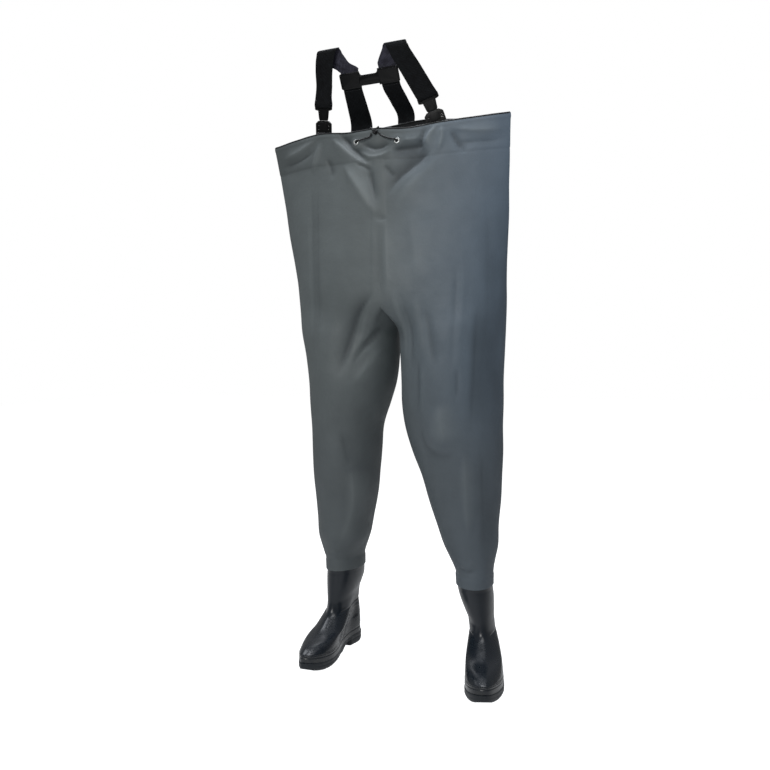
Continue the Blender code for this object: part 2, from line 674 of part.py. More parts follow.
def bib_and_legs(shop):
    """One hollow garment: bib and both legs, open at the collar and at the two ankles."""
    leg_levels, levels = body_levels()
    plain = np.linspace(0.0, 1.0, OUTER_COLUMNS + 1)
    seams = list(SEAM_SHARES) + [1.0 - share for share in SEAM_SHARES]
    shares = np.sort(np.concatenate((plain, seams)))
    inner_shares = np.linspace(0.0, 1.0, INNER_COLUMNS + 1)
    build = bmesh.new()
    for side, sign in SIDES.items():
        outer = outer_surface(side, levels, shares)
        steps = SEAM_STEP * lap_steps(levels, shares)
        normals = grid_normals(outer, -sign)
        normals[len(leg_levels) - 1:, (0, -1), 0] = 0.0
        outer = outer + normals * steps[:, :, None]
        inner = inner_surface(side, leg_levels, inner_shares)
        inner_normals = grid_normals(inner, -sign)
        inner_normals[-1] = 0.0
        inner_steps = SEAM_STEP * lap_steps(leg_levels, np.full(INNER_COLUMNS + 1, 0.5))
        inner = inner + inner_normals * inner_steps[:, :, None]
        inner[:, 0] = outer[:len(leg_levels), -1]
        inner[:, -1] = outer[:len(leg_levels), 0]
        for grid in (outer, inner):
            rows = [[build.verts.new(point) for point in line] for line in grid]
            for low, high in zip(rows, rows[1:]):
                for i in range(len(low) - 1):
                    build.faces.new((low[i], low[i + 1], high[i + 1], high[i]))
    item = shop.add("bib_and_legs", finish_mesh("bib_and_legs", build), shop.cloth)
    thicken(item, CLOTH_WALL)
    holes = bmesh.new()
    for side in SIDES:
        place, out = panel_point(EYELET_X[side], EYELET_LEVEL[side])
        turn = out.to_track_quat("Z", "Y").to_matrix().to_4x4()
        bmesh.ops.create_cone(holes, cap_ends=True, segments=16, radius1=EYELET_HOLE,
                              radius2=EYELET_HOLE, depth=EYELET_HOLE_DEPTH,
                              matrix=Matrix.Translation(place) @ turn)
    cut(item, shop.add_cutter("eyelet_holes", finish_mesh("eyelet_holes", holes)))


def panel_point(x, level, back=False):
    """Place on the bib's outside at a given x and level, with its outward direction."""
    side = "left" if x >= float(np.interp(level, BIB_TABLE["level"], BIB_TABLE["centre_x"])) else "right"
    low, high = BACK_SHARES if back else FRONT_SHARES
    shares = np.linspace(low, high, PANEL_SAMPLES)
    levels = np.array([level - PANEL_STEP, level, level + PANEL_STEP])
    grid = outer_surface(side, levels, shares)
    order = np.argsort(grid[1, :, 0])
    place = Vector([float(np.interp(x, grid[1, order, 0], grid[1, order, axis])) for axis in range(3)])
    normals = grid_normals(grid, -SIDES[side])
    out = Vector([float(np.interp(x, grid[1, order, 0], normals[1, order, axis])) for axis in range(3)])
    out.normalize()
    if level > COLLAR_LEVEL - HEM_BAND:
        place = place + out * SEAM_STEP
    return place, out


def turning(start, end, count):
    """Directions across a ribbon that turn evenly from one to the other."""
    share = np.linspace(0.0, 1.0, count)[:, None]
    return np.asarray(start) * (1.0 - share) + np.asarray(end) * share


def ribbon(name, points, widths, across):
    """Flat webbing along a route, with a direction across it at each point."""
    points = np.asarray(points, float)
    tangents = np.gradient(points, axis=0)
    tangents /= np.linalg.norm(tangents, axis=1)[:, None]
    share = np.linspace(0.0, 1.0, len(points))[:, None]
    across = np.asarray(across)
    sideways = across - tangents * np.sum(tangents * across, axis=1)[:, None]
    sideways /= np.linalg.norm(sideways, axis=1)[:, None]
    normals = np.cross(sideways, tangents)
    sideways *= (widths[0] + (widths[1] - widths[0]) * share) / 2.0
    normals *= STRAP_THICK / 2.0
    rings = []
    for place, wide, out in zip(points, sideways, normals):
        rings.append((place + wide + out, place - wide + out, place - wide - out, place + wide - out))
    return loft(name, rings, capped=True)


def buckle_frame(side):
    """Origin at the socket's bar, with width, front and up directions of the buckle."""
    panel, out = panel_point(TAB_X[side], COLLAR_LEVEL - EDGE_INSET)
    edge = float(edge_rise(side, np.array([COLLAR_LEVEL]), np.array([TAB_SHARE]))[0, 0])
    up = Vector(BUCKLE_UP[side]).normalized()
    wide = up.cross(out).normalized()
    front = wide.cross(up)
    base = Vector((TAB_X[side], panel.y + TAB_SET_BACK, COLLAR_LEVEL + edge))
    return base + up * SOCKET_BAR_RISE[side], wide, front, up


def plug_bar(side):
    """Place of the plug's bar, that the shoulder strap is looped round."""
    origin, _, _, up = buckle_frame(side)
    return origin + up * (SOCKET_LENGTH + GAP + PLUG_LENGTH)


def flat_piece(shop, name, loops, thickness, material, frame):
    """Flat moulding from outlines across and up, set on a frame of origin, width, front and up."""
    curve = bpy.data.curves.new(name, "CURVE")
    curve.dimensions = "2D"
    curve.fill_mode = "BOTH"
    curve.extrude = thickness / 2.0
    for loop in loops:
        spline = curve.splines.new("POLY")
        spline.points.add(len(loop) - 1)
        spline.use_cyclic_u = True
        for point, (across, up) in zip(spline.points, loop):
            point.co = (across, up, 0.0, 1.0)
    item = shop.add(name, curve, material, smooth=False)
    origin, wide, front, up = frame
    turn = Matrix((wide, up, wide.cross(up))).transposed().to_4x4()
    item.matrix_local = Matrix.Translation(origin) @ turn


def mirrored(half):
    """Closed outline from its right half, listed from the top centre down."""
    return list(half) + [(-x, y) for x, y in reversed(half) if x > 1.0e-6]


def rectangle(half_width, low, high):
    """Closed outline of a slot."""
    return [(-half_width, low), (half_width, low), (half_width, high), (-half_width, high)]


def buckle_socket(shop, side):
    """Lower half of the side-release buckle: bar, body, sloped shoulders and two arm slots."""
    half = TAB_WIDTH / 2.0 + SOCKET_MARGIN
    mouth, shoulder = SOCKET_SHOULDER
    corner, foot, bottom = SOCKET_FOOT
    outline = mirrored([
        (mouth, SOCKET_LENGTH), (half, SOCKET_LENGTH - shoulder), (half, -foot), (half - corner, -bottom),
    ])
    slot = rectangle(TAB_WIDTH / 2.0 + SLOT_PLAY, BAR_HALF_HEIGHT, BAR_HALF_HEIGHT + SLOT_HEIGHT)
    release = rectangle(*RELEASE_SLOT)
    arms = [[(x + sign * RELEASE_SLOT_X, y) for x, y in release] for sign in SIDES.values()]
    flat_piece(shop, "buckle_socket_" + side, [outline, slot] + arms, SOCKET_THICK, shop.buckle,
               buckle_frame(side))


def buckle_plug(shop, side):
    """Upper half of the buckle: strap bar, slot and the tapered plug."""
    _, wide, front, up = buckle_frame(side)
    half = STRAP_WIDTH / 2.0 + PLUG_MARGIN
    outline = mirrored([(half - inset, height) for inset, height in PLUG_FRAME] + list(PLUG_TONGUE))
    slot = rectangle(STRAP_WIDTH / 2.0 + SLOT_PLAY, -BAR_HALF_HEIGHT - SLOT_HEIGHT, -BAR_HALF_HEIGHT)
    flat_piece(shop, "buckle_plug_" + side, [outline, slot], PLUG_THICK, shop.buckle,
               (plug_bar(side), wide, front, up))


def half_turn(origin, front, up, radius, below):
    """Points of a webbing loop round a bar, from its front side to its back side."""
    sign = -1.0 if below else 1.0
    angles = np.linspace(0.0, math.pi, ARC_STEPS + 1)
    return [origin + front * (radius * math.cos(a)) + up * (sign * radius * math.sin(a)) for a in angles]


def strap_tab(shop, side):
    """Short webbing loop, sewn inside the collar and looped round the socket's bar."""
    origin, wide, front, up = buckle_frame(side)
    sewn_x = origin.x - (origin.z - TAB_SEWN_LEVEL) * up.x / up.z
    panel, out = panel_point(sewn_x, TAB_SEWN_LEVEL)
    sewn = panel - out * (CLOTH_WALL + SEAM_STEP + TAB_CLEAR + STRAP_THICK / 2.0)
    behind = -out * (2.0 * PLY_OFFSET)
    middle = sewn.lerp(origin, TAB_MIDDLE)
    loop = half_turn(origin, front, up, SOCKET_LOOP, below=False)
    runs = [up * TAB_RUN, up * (TAB_RUN / 2.0)]
    loop = [*[loop[0] - run for run in runs], *loop, *[loop[-1] - run for run in reversed(runs)]]
    points = [sewn, middle - front * TAB_BOW[0], *loop, middle + behind - front * TAB_BOW[1], sewn + behind]
    sewn_wide = Vector((0.0, 0.0, 1.0)).cross(out).normalized()
    half_way = (sewn_wide + wide) / 2.0
    across = [sewn_wide, half_way, *[wide] * len(loop), half_way, sewn_wide]
    mesh = ribbon("strap_tab_" + side, points, (TAB_WIDTH, TAB_WIDTH), across)
    shop.add("strap_tab_" + side, mesh, shop.webbing)


def on_yoke(side):
    """Middle of a strap on the back of one of the yoke's legs, with the yoke's directions."""
    origin, wide, back, up = yoke_frame()
    lie = YOKE_THICK / 2.0 + YOKE_CLEAR + STRAP_THICK / 2.0
    return origin + wide * (SIDES[side] * YOKE_LEG_X) + back * lie, wide, up


def shoulder_strap(shop, side):
    """Elastic webbing from the plug's bar over the shoulder to the back of the yoke."""
    _, buckle_wide, front, up = buckle_frame(side)
    bar = plug_bar(side)
    tail = [bar + up * height - front * PLY_OFFSET for height in (TAIL_LENGTH, PLY_RUN)]
    loop = half_turn(bar, front, up, PLUG_LOOP, below=True)[::-1]
    leg, wide, yoke_up = on_yoke(side)
    route = [bar + up * PLY_RUN + front * PLY_OFFSET]
    route += [Vector(point) for point in SHOULDER_ROUTE[side]]
    route += [leg + yoke_up * run for run in (YOKE_RUN, YOKE_RUN / 2.0, YOKE_SPLIT)]
    points = [*tail, *loop, *[Vector(place) for place in smooth_route(route, SHOULDER_POINTS)]]
    across = [*[buckle_wide] * (len(tail) + len(loop)),
              *turning(buckle_wide, wide, SHOULDER_POINTS - FLAT_POINTS), *[wide] * FLAT_POINTS]
    mesh = ribbon("shoulder_strap_" + side, points, (STRAP_WIDTH, STRAP_WIDTH), across)
    shop.add("shoulder_strap_" + side, mesh, shop.webbing)


def back_strap(shop, side):
    """Webbing from the back of the yoke to the outside of the back panel."""
    leg, wide, yoke_up = on_yoke(side)
    clear = GAP + STRAP_THICK / 2.0 + BACK_STRAP_CLEAR
    levels = (COLLAR_LEVEL - EDGE_INSET, BACK_STRAP_SEWN_LEVEL)
    panel = [panel_point(BACK_STRAP_X[side], level, back=True) for level in levels]
    sewn = [place + out * clear for place, out in panel]
    edge = sewn[0] + Vector((0.0, 0.0, BACK_STRAP_RISE))
    bow = Vector((0.0, BACK_STRAP_BOW, 0.0))
    route = [leg - yoke_up * run for run in (YOKE_SPLIT, YOKE_RUN / 2.0, YOKE_RUN)]
    route += [route[-1].lerp(edge, 0.5) + bow, edge, *sewn]
    panel_wide = panel[1][1].cross(Vector((0.0, 0.0, 1.0))).normalized()
    points = smooth_route(route, BACK_STRAP_POINTS)
    widths = (STRAP_WIDTH, BACK_STRAP_FOOT[side])
    mesh = ribbon("back_strap_" + side, points, widths, turning(wide, panel_wide, len(points)))
    shop.add("back_strap_" + side, mesh, shop.webbing)


def yoke_frame():
    """Origin of the yoke with its width, back and up directions."""
    up = Vector((0.0, -math.sin(YOKE_TILT), math.cos(YOKE_TILT)))
    back = Vector((0.0, math.cos(YOKE_TILT), math.sin(YOKE_TILT)))
    return Vector(YOKE_PLACE), Vector((1.0, 0.0, 0.0)), back, up


def arc(centre, radius, start, end):
    """Points of an arc, with its ends."""
    angles = np.radians(np.linspace(start, end, ARC_STEPS + 1))
    return [(centre[0] + radius * math.cos(a), centre[1] + radius * math.sin(a)) for a in angles]


def yoke(shop):
    """H-shaped moulding with wide fillets between its crossbar and its two strap legs."""
    inner = YOKE_LEG_X - YOKE_LEG_HALF
    outer = YOKE_LEG_X + YOKE_LEG_HALF
    quarter = arc((inner - YOKE_FILLET, YOKE_BAR_HALF + YOKE_FILLET), YOKE_FILLET, -90.0, 0.0)
    quarter += [(inner, YOKE_HALF_HEIGHT)]
    quarter += arc((outer - YOKE_CORNER, YOKE_HALF_HEIGHT - YOKE_CORNER), YOKE_CORNER, 90.0, 0.0)
    half = quarter + [(x, -y) for x, y in reversed(quarter)]
    origin, wide, back, up = yoke_frame()
    flat_piece(shop, "yoke", [mirrored(half)], YOKE_THICK, shop.yoke, (origin, wide, back, up))


def eyelet(shop, side):
    """Flanged metal ring through the hem."""
    mesh = bpy.data.meshes.new("eyelet_" + side)
    count = len(EYELET_PROFILE)
    edges = [(i, (i + 1) % count) for i in range(count)]
    mesh.from_pydata([(radius, 0.0, height) for radius, height in EYELET_PROFILE], edges, [])
    item = shop.add("eyelet_" + side, mesh, shop.metal, smooth=False)
    turn = item.modifiers.new("turned", "SCREW")
    turn.axis = "Z"
    turn.steps = EYELET_STEPS
    turn.render_steps = EYELET_STEPS
    turn.use_merge_vertices = True
    turn.merge_threshold = 0.00001
    place, out = panel_point(EYELET_X[side], EYELET_LEVEL[side])
    item.matrix_local = Matrix.Translation(place) @ out.to_track_quat("Z", "Y").to_matrix().to_4x4()


def drawcord_route(side):
    """Cord from its eyelet along the hem to the knot."""
    place, _ = panel_point(EYELET_X[side], EYELET_LEVEL[side])
    knot = Vector(KNOT_PLACE)
    lift = place.z - EYELET_LEVEL[side]
    route = []
    for share, off, sag in CORD_ROUTE:
        straight = place.lerp(knot, share)
        cloth, out = panel_point(straight.x, straight.z - lift - sag)
        route.append(cloth + out * off)
    beside = SIDES[side] * (KNOT_RADII[0] + GAP + CORD_RADIUS)
    route.append(knot + Vector((beside, 0.0, -CORD_END_DROP)))
    return smooth_route(route, CORD_POINTS)


def drawcord(shop, side):
    """One run of the drawcord."""
    curve = bpy.data.curves.new("drawcord_" + side, "CURVE")
    curve.dimensions = "3D"
    curve.bevel_depth = CORD_RADIUS
    curve.bevel_resolution = 2
    curve.use_fill_caps = True
    points = drawcord_route(side)
    spline = curve.splines.new("POLY")
    spline.points.add(len(points) - 1)
    for point, place in zip(spline.points, points):
        point.co = (*place, 1.0)
    shop.add("drawcord_" + side, curve, shop.cord, smooth=False)


def drawcord_knot(shop):
    """Knot of the drawcord on the collar's edge."""
    build = bmesh.new()
    size = Matrix.Diagonal((*KNOT_RADII, 1.0))
    bmesh.ops.create_uvsphere(build, u_segments=10, v_segments=6, radius=1.0,
                              matrix=Matrix.Translation(KNOT_PLACE) @ size)
    shop.add("drawcord_knot", finish_mesh("drawcord_knot", build), shop.cord)


def main():
    """Builds the waders piece by piece."""
    shop = Shop()
    bib_and_legs(shop)
    for side in SIDES:
        boot_upper(shop, side)
        outsole(shop, side)
        eyelet(shop, side)
        drawcord(shop, side)
        strap_tab(shop, side)
        buckle_socket(shop, side)
        buckle_plug(shop, side)
        shoulder_strap(shop, side)
        back_strap(shop, side)
    drawcord_knot(shop)
    yoke(shop)


main()
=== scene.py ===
"""Chest waders standing upright: coated bib and legs, moulded boots, webbing braces and a drawcord.

Sizes are in metres; the tables of creases are in millimetres. Places in the tables are measured from a
line between the heels; the frame's origin lies on the floor under the middle of the waders. The wearer
faces -Y, their left side is +X.
"""
import logging
import math
from collections.abc import Mapping, Sequence
from dataclasses import dataclass, field
from enum import Enum
from typing import ClassVar

import bmesh
import bpy
import numpy as np
from mathutils import Matrix, Vector, noise


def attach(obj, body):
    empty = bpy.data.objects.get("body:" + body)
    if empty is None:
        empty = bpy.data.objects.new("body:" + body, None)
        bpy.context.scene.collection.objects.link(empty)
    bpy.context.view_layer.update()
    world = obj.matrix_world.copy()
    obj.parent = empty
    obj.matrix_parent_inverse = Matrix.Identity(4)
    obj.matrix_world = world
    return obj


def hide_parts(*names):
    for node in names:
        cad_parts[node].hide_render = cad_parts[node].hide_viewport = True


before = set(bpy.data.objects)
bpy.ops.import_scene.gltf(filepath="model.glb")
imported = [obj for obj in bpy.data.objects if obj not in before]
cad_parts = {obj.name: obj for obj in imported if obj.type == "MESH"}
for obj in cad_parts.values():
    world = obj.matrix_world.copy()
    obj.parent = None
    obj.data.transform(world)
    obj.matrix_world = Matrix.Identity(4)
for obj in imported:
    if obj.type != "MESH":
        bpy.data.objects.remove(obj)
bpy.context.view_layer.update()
LOG = logging.getLogger("waders")

Array = np.ndarray
Mesh = bpy.types.Mesh
BMesh = bmesh.types.BMesh
Tree = bpy.types.NodeTree
Node = bpy.types.Node
Socket = bpy.types.NodeSocket
Pair = tuple[float, float]
Triple = tuple[float, float, float]
Inputs = Mapping[str | int, object]

FLOOR_CENTRE = Vector((0.0066, -0.02275, 0.0))
UP = Vector((0.0, 0.0, 1.0))
GAP = 0.0003            # clearance between touching pieces
MERGE = 0.00001         # points nearer than this become one
FINE_MERGE = 0.000005   # the same on mouldings and cord
WEB_THICK = 0.0020      # webbing of braces and tabs
MM_IN_M = 1000.0        # millimetres in a metre


class Side(Enum):
    """The wearer's right and left side."""

    RIGHT = "right"
    LEFT = "left"

    @property
    def sign(self) -> int:
        """Direction of this side along X."""
        return -1 if self is Side.RIGHT else 1


class Panel(Enum):
    """Front or back of the garment."""

    FRONT = -1.0
    BACK = 1.0


# Splines, meshes and nodes


def columns(names: Sequence[str], rows: Sequence[Sequence[float]]) -> dict[str, Array]:
    """A table's columns as arrays, by name."""
    return {name: np.array([row[i] for row in rows], float) for i, name in enumerate(names)}


def unit(rows: Array) -> Array:
    """Rows of vectors, each at length 1."""
    return rows / np.linalg.norm(rows, axis=-1, keepdims=True)


def distances(points: Array) -> Array:
    """How far along a line each of its points is."""
    return np.concatenate(([0.0], np.cumsum(np.linalg.norm(np.diff(points, axis=0), axis=1))))


def read_along(at: Array, along: Array, rows: Array) -> Array:
    """Rows of vectors, known at distances along a line, read at other distances."""
    return np.stack([np.interp(at, along, rows[:, axis]) for axis in range(3)], axis=1)


def through(knots: Array, values: Array, at: Array) -> Array:
    """Smooth curve through values at the knots.

    Args:
        knots: Rising places of the values.
        values: One value or row of values for each knot.
        at: Places to read the curve at.

    Returns:
        The curve's values at these places.
    """
    knots = np.asarray(knots, float)
    values = np.asarray(values, float)
    at = np.clip(np.asarray(at, float), knots[0], knots[-1])
    slopes = np.gradient(values, knots, axis=0)
    low = np.clip(np.searchsorted(knots, at, side="right") - 1, 0, len(knots) - 2)
    shape = at.shape + (1,) * (values.ndim - 1)
    span = (knots[low + 1] - knots[low]).reshape(shape)
    t = ((at - knots[low]) / (knots[low + 1] - knots[low])).reshape(shape)
    ease = t * t * (3.0 - 2.0 * t)
    leave = t * (1.0 - t) ** 2
    arrive = t * t * (t - 1.0)
    return (values[low] + (values[low + 1] - values[low]) * ease
            + span * (slopes[low] * leave + slopes[low + 1] * arrive))


def smooth_route(points: Sequence[Sequence[float]], count: int) -> Array:
    """Evenly spaced points on a smooth curve through a route's own points."""
    along = distances(np.asarray(points, float))
    return through(along, points, np.linspace(0.0, along[-1], count))


def ramp(value: Array, start: float, end: float) -> Array:
    """Smooth step from 0 at start to 1 at end."""
    t = np.clip((np.asarray(value, float) - start) / (end - start), 0.0, 1.0)
    return t * t * (3.0 - 2.0 * t)


def bump(value: Array, centre: float, width: float) -> Array:
    """Round hump of height 1 and the given half width."""
    return np.exp(-(((np.asarray(value, float) - centre) / width) ** 2))


def in_frame(points: Array) -> Array:
    """Moves points from the tables' measures to the frame."""
    return np.asarray(points, float) - np.array(FLOOR_CENTRE)


def cloth_home(place: Vector, out: Vector) -> Matrix:
    """A place on the cloth in the frame, with Z straight out of it."""
    return Matrix.Translation(place - FLOOR_CENTRE) @ out.to_track_quat("Z", "Y").to_matrix().to_4x4()


def flat_home(origin: Vector, wide: Vector, up: Vector) -> Matrix:
    """A flat moulding's place in the frame: X across it, Y up it and Z to its front."""
    turn = Matrix((wide, up, wide.cross(up))).transposed().to_4x4()
    return Matrix.Translation(origin - FLOOR_CENTRE) @ turn


def grid_normals(grid: Array, outward: float) -> Array:
    """Unit normals of a grid of points, turned by the sign of outward so that they point out."""
    normal = np.cross(np.gradient(grid, axis=0), np.gradient(grid, axis=1)) * outward
    return normal / np.maximum(np.linalg.norm(normal, axis=2), 1.0e-12)[:, :, None]


def loft(build: BMesh, rings: Array, capped: bool = False) -> None:
    """Skins closed rings of points.

    Args:
        build: Mesh under construction.
        rings: Rings of equally many points.
        capped: Whether the first and last ring are filled.
    """
    rows = [[build.verts.new(point) for point in ring] for ring in rings]
    count = len(rows[0])
    for low, high in zip(rows, rows[1:]):
        for i in range(count):
            j = (i + 1) % count
            build.faces.new((low[i], low[j], high[j], high[i]))
    if capped:
        build.faces.new(list(reversed(rows[0])))
        build.faces.new(rows[-1])


def hand_over(name: str, build: BMesh, merge: float = 0.0, outward: bool = True) -> Mesh:
    """Hands over a mesh under construction, which is freed.

    Args:
        name: The mesh's name.
        build: Mesh under construction.
        merge: Points nearer than this become one.
        outward: Whether its faces are turned outwards.

    Returns:
        The finished mesh.
    """
    if merge:
        bmesh.ops.remove_doubles(build, verts=build.verts[:], dist=merge)
    if outward:
        bmesh.ops.recalc_face_normals(build, faces=build.faces[:])
    mesh = bpy.data.meshes.new(name)
    build.to_mesh(mesh)
    build.free()
    return mesh


def closed_mesh(name: str, build: BMesh) -> Mesh:
    """Hands over a closed mesh without doubles or faces of no area.

    Args:
        name: The mesh's name.
        build: Mesh under construction, which is freed.

    Returns:
        The finished mesh.
    """
    bmesh.ops.remove_doubles(build, verts=build.verts[:], dist=MERGE)
    bmesh.ops.dissolve_degenerate(build, edges=build.edges[:], dist=MERGE)
    return hand_over(name, build)


def shown(name: str, data: bpy.types.ID) -> bpy.types.Object:
    """Puts a mesh, light or camera into the scene, at its origin.

    Args:
        name: The object's name.
        data: What it carries.

    Returns:
        The object.
    """
    item = bpy.data.objects.new(name, data)
    bpy.context.scene.collection.objects.link(item)
    return item


def applied(item: bpy.types.Object) -> Mesh:
    """Plain mesh of an object with its modifiers, whose carrier is removed.

    Args:
        item: Object with modifiers or a curve.

    Returns:
        The evaluated mesh.
    """
    bpy.context.scene.collection.objects.link(item)
    evaluated = item.evaluated_get(bpy.context.evaluated_depsgraph_get())
    mesh = bpy.data.meshes.new_from_object(evaluated)
    mesh.name = item.name
    bpy.data.objects.remove(item)
    return mesh


def worked(mesh: Mesh, kind: str, settings: Mapping[str, object]) -> Mesh:
    """Mesh with one modifier applied.

    Args:
        mesh: Mesh to work on.
        kind: Modifier type.
        settings: The modifier's attributes.

    Returns:
        The worked mesh.
    """
    item = bpy.data.objects.new(mesh.name, mesh)
    modifier = item.modifiers.new(kind.lower(), kind)
    for name, value in settings.items():
        setattr(modifier, name, value)
    return applied(item)


def walled(mesh: Mesh, thickness: float, inner: int = 0) -> Mesh:
    """Open outer surface with its wall, inwards; inner is the material slot of the wall's inside."""
    return worked(mesh, "SOLIDIFY", {"thickness": thickness, "material_offset": inner, "offset": -1.0,
                                     "use_rim": True})


def without(mesh: Mesh, cutter: Mesh) -> Mesh:
    """Takes a cutter's shape out of a closed mesh.

    Args:
        mesh: Closed mesh.
        cutter: Closed mesh to take away.

    Returns:
        What is left.
    """
    tool = bpy.data.objects.new(cutter.name, cutter)
    made = worked(mesh, "BOOLEAN", {"operation": "DIFFERENCE", "solver": "EXACT", "object": tool})
    bpy.data.objects.remove(tool)
    return made


def feed(tree: Tree, node: Node, inputs: Inputs) -> None:
    """Gives a node's inputs their values and links.

    Args:
        tree: The node's tree.
        node: Node to feed.
        inputs: By name or number: a plain value, an output socket, or a node for its first open output.
    """
    for name, value in inputs.items():
        if isinstance(value, Node):
            value = next(socket for socket in value.outputs if socket.enabled)
        if isinstance(value, Socket):
            tree.links.new(value, node.inputs[name])
        else:
            node.inputs[name].default_value = value


def add_node(tree: Tree, kind: str, settings: Mapping[str, object] | None = None,
             inputs: Inputs | None = None) -> Node:
    """Adds one node with its settings, values and links.

    Args:
        tree: Tree of a material, world or Geometry Nodes group.
        kind: Node type.
        settings: The node's own attributes.
        inputs: What its inputs are fed with.

    Returns:
        The node.
    """
    node = tree.nodes.new(kind)
    for name, value in (settings or {}).items():
        setattr(node, name, value)
    feed(tree, node, inputs or {})
    return node


def linear(colour: str) -> tuple[float, ...]:
    """Linear red, green, blue and alpha of an sRGB hex value such as #565E61."""
    channels = [int(colour[i:i + 2], 16) / 255.0 for i in (1, 3, 5)]
    return (*[c / 12.92 if c <= 0.04045 else ((c + 0.055) / 1.055) ** 2.4 for c in channels], 1.0)


# Finishes

COLOURS = {"data_type": "RGBA"}
EASED = {"interpolation_type": "SMOOTHSTEP"}
TIMES = {"operation": "MULTIPLY"}
TIMES_PLUS = {"operation": "MULTIPLY_ADD"}
DIAGONAL = {"wave_type": "BANDS", "bands_direction": "DIAGONAL"}
FROM, TO = 6, 7         # the two colours of a colour mix
OCTAVES = 0.55          # strength of a noise's finer octaves
WAVE = math.tau / 0.02  # scale of a wave texture whose bands lie 1 mm apart


@dataclass(frozen=True)
class Finish:
    """What a surface is made of; each kind draws its own nodes.

    A pattern lies in the frame, in metres, or on the UV map that the finish names. Its blotches are
    noises, each with a size in millimetres and a number of finer octaves.
    """

    name: str
    slot: str
    colour: str
    roughness: float
    uv: ClassVar[str] = ""
    blotches: ClassVar[Sequence[Pair]] = ()

    def material(self) -> bpy.types.Material:
        """The finish's material, made once.

        Returns:
            The material.
        """
        known = bpy.data.materials.get(self.name)
        if known:
            return known
        made = bpy.data.materials.new(self.name)
        made.use_nodes = True
        made.diffuse_color = linear(self.colour)
        tree = made.node_tree
        shader = tree.nodes["Principled BSDF"]
        feed(tree, shader, {"Base Color": linear(self.colour), "Roughness": self.roughness})
        if self.uv:
            place = add_node(tree, "ShaderNodeUVMap", {"uv_map": self.uv}).outputs["UV"]
        else:
            place = add_node(tree, "ShaderNodeTexCoord").outputs["Object"]
        noises = [add_node(tree, "ShaderNodeTexNoise", None, {"Vector": place, "Scale": MM_IN_M / size_mm,
                                                              "Detail": detail, "Roughness": OCTAVES})
                  for size_mm, detail in self.blotches]
        feed(tree, shader, self.draw(tree, place, noises))
        return made

    def draw(self, tree: Tree, place: Socket, noises: Sequence[Node]) -> Inputs:
        """Draws this finish's own pattern; a plain finish has none.

        Args:
            tree: The material's tree.
            place: Where the pattern lies.
            noises: One noise for each of the blotches.

        Returns:
            What feeds the shader.
        """
        return {}


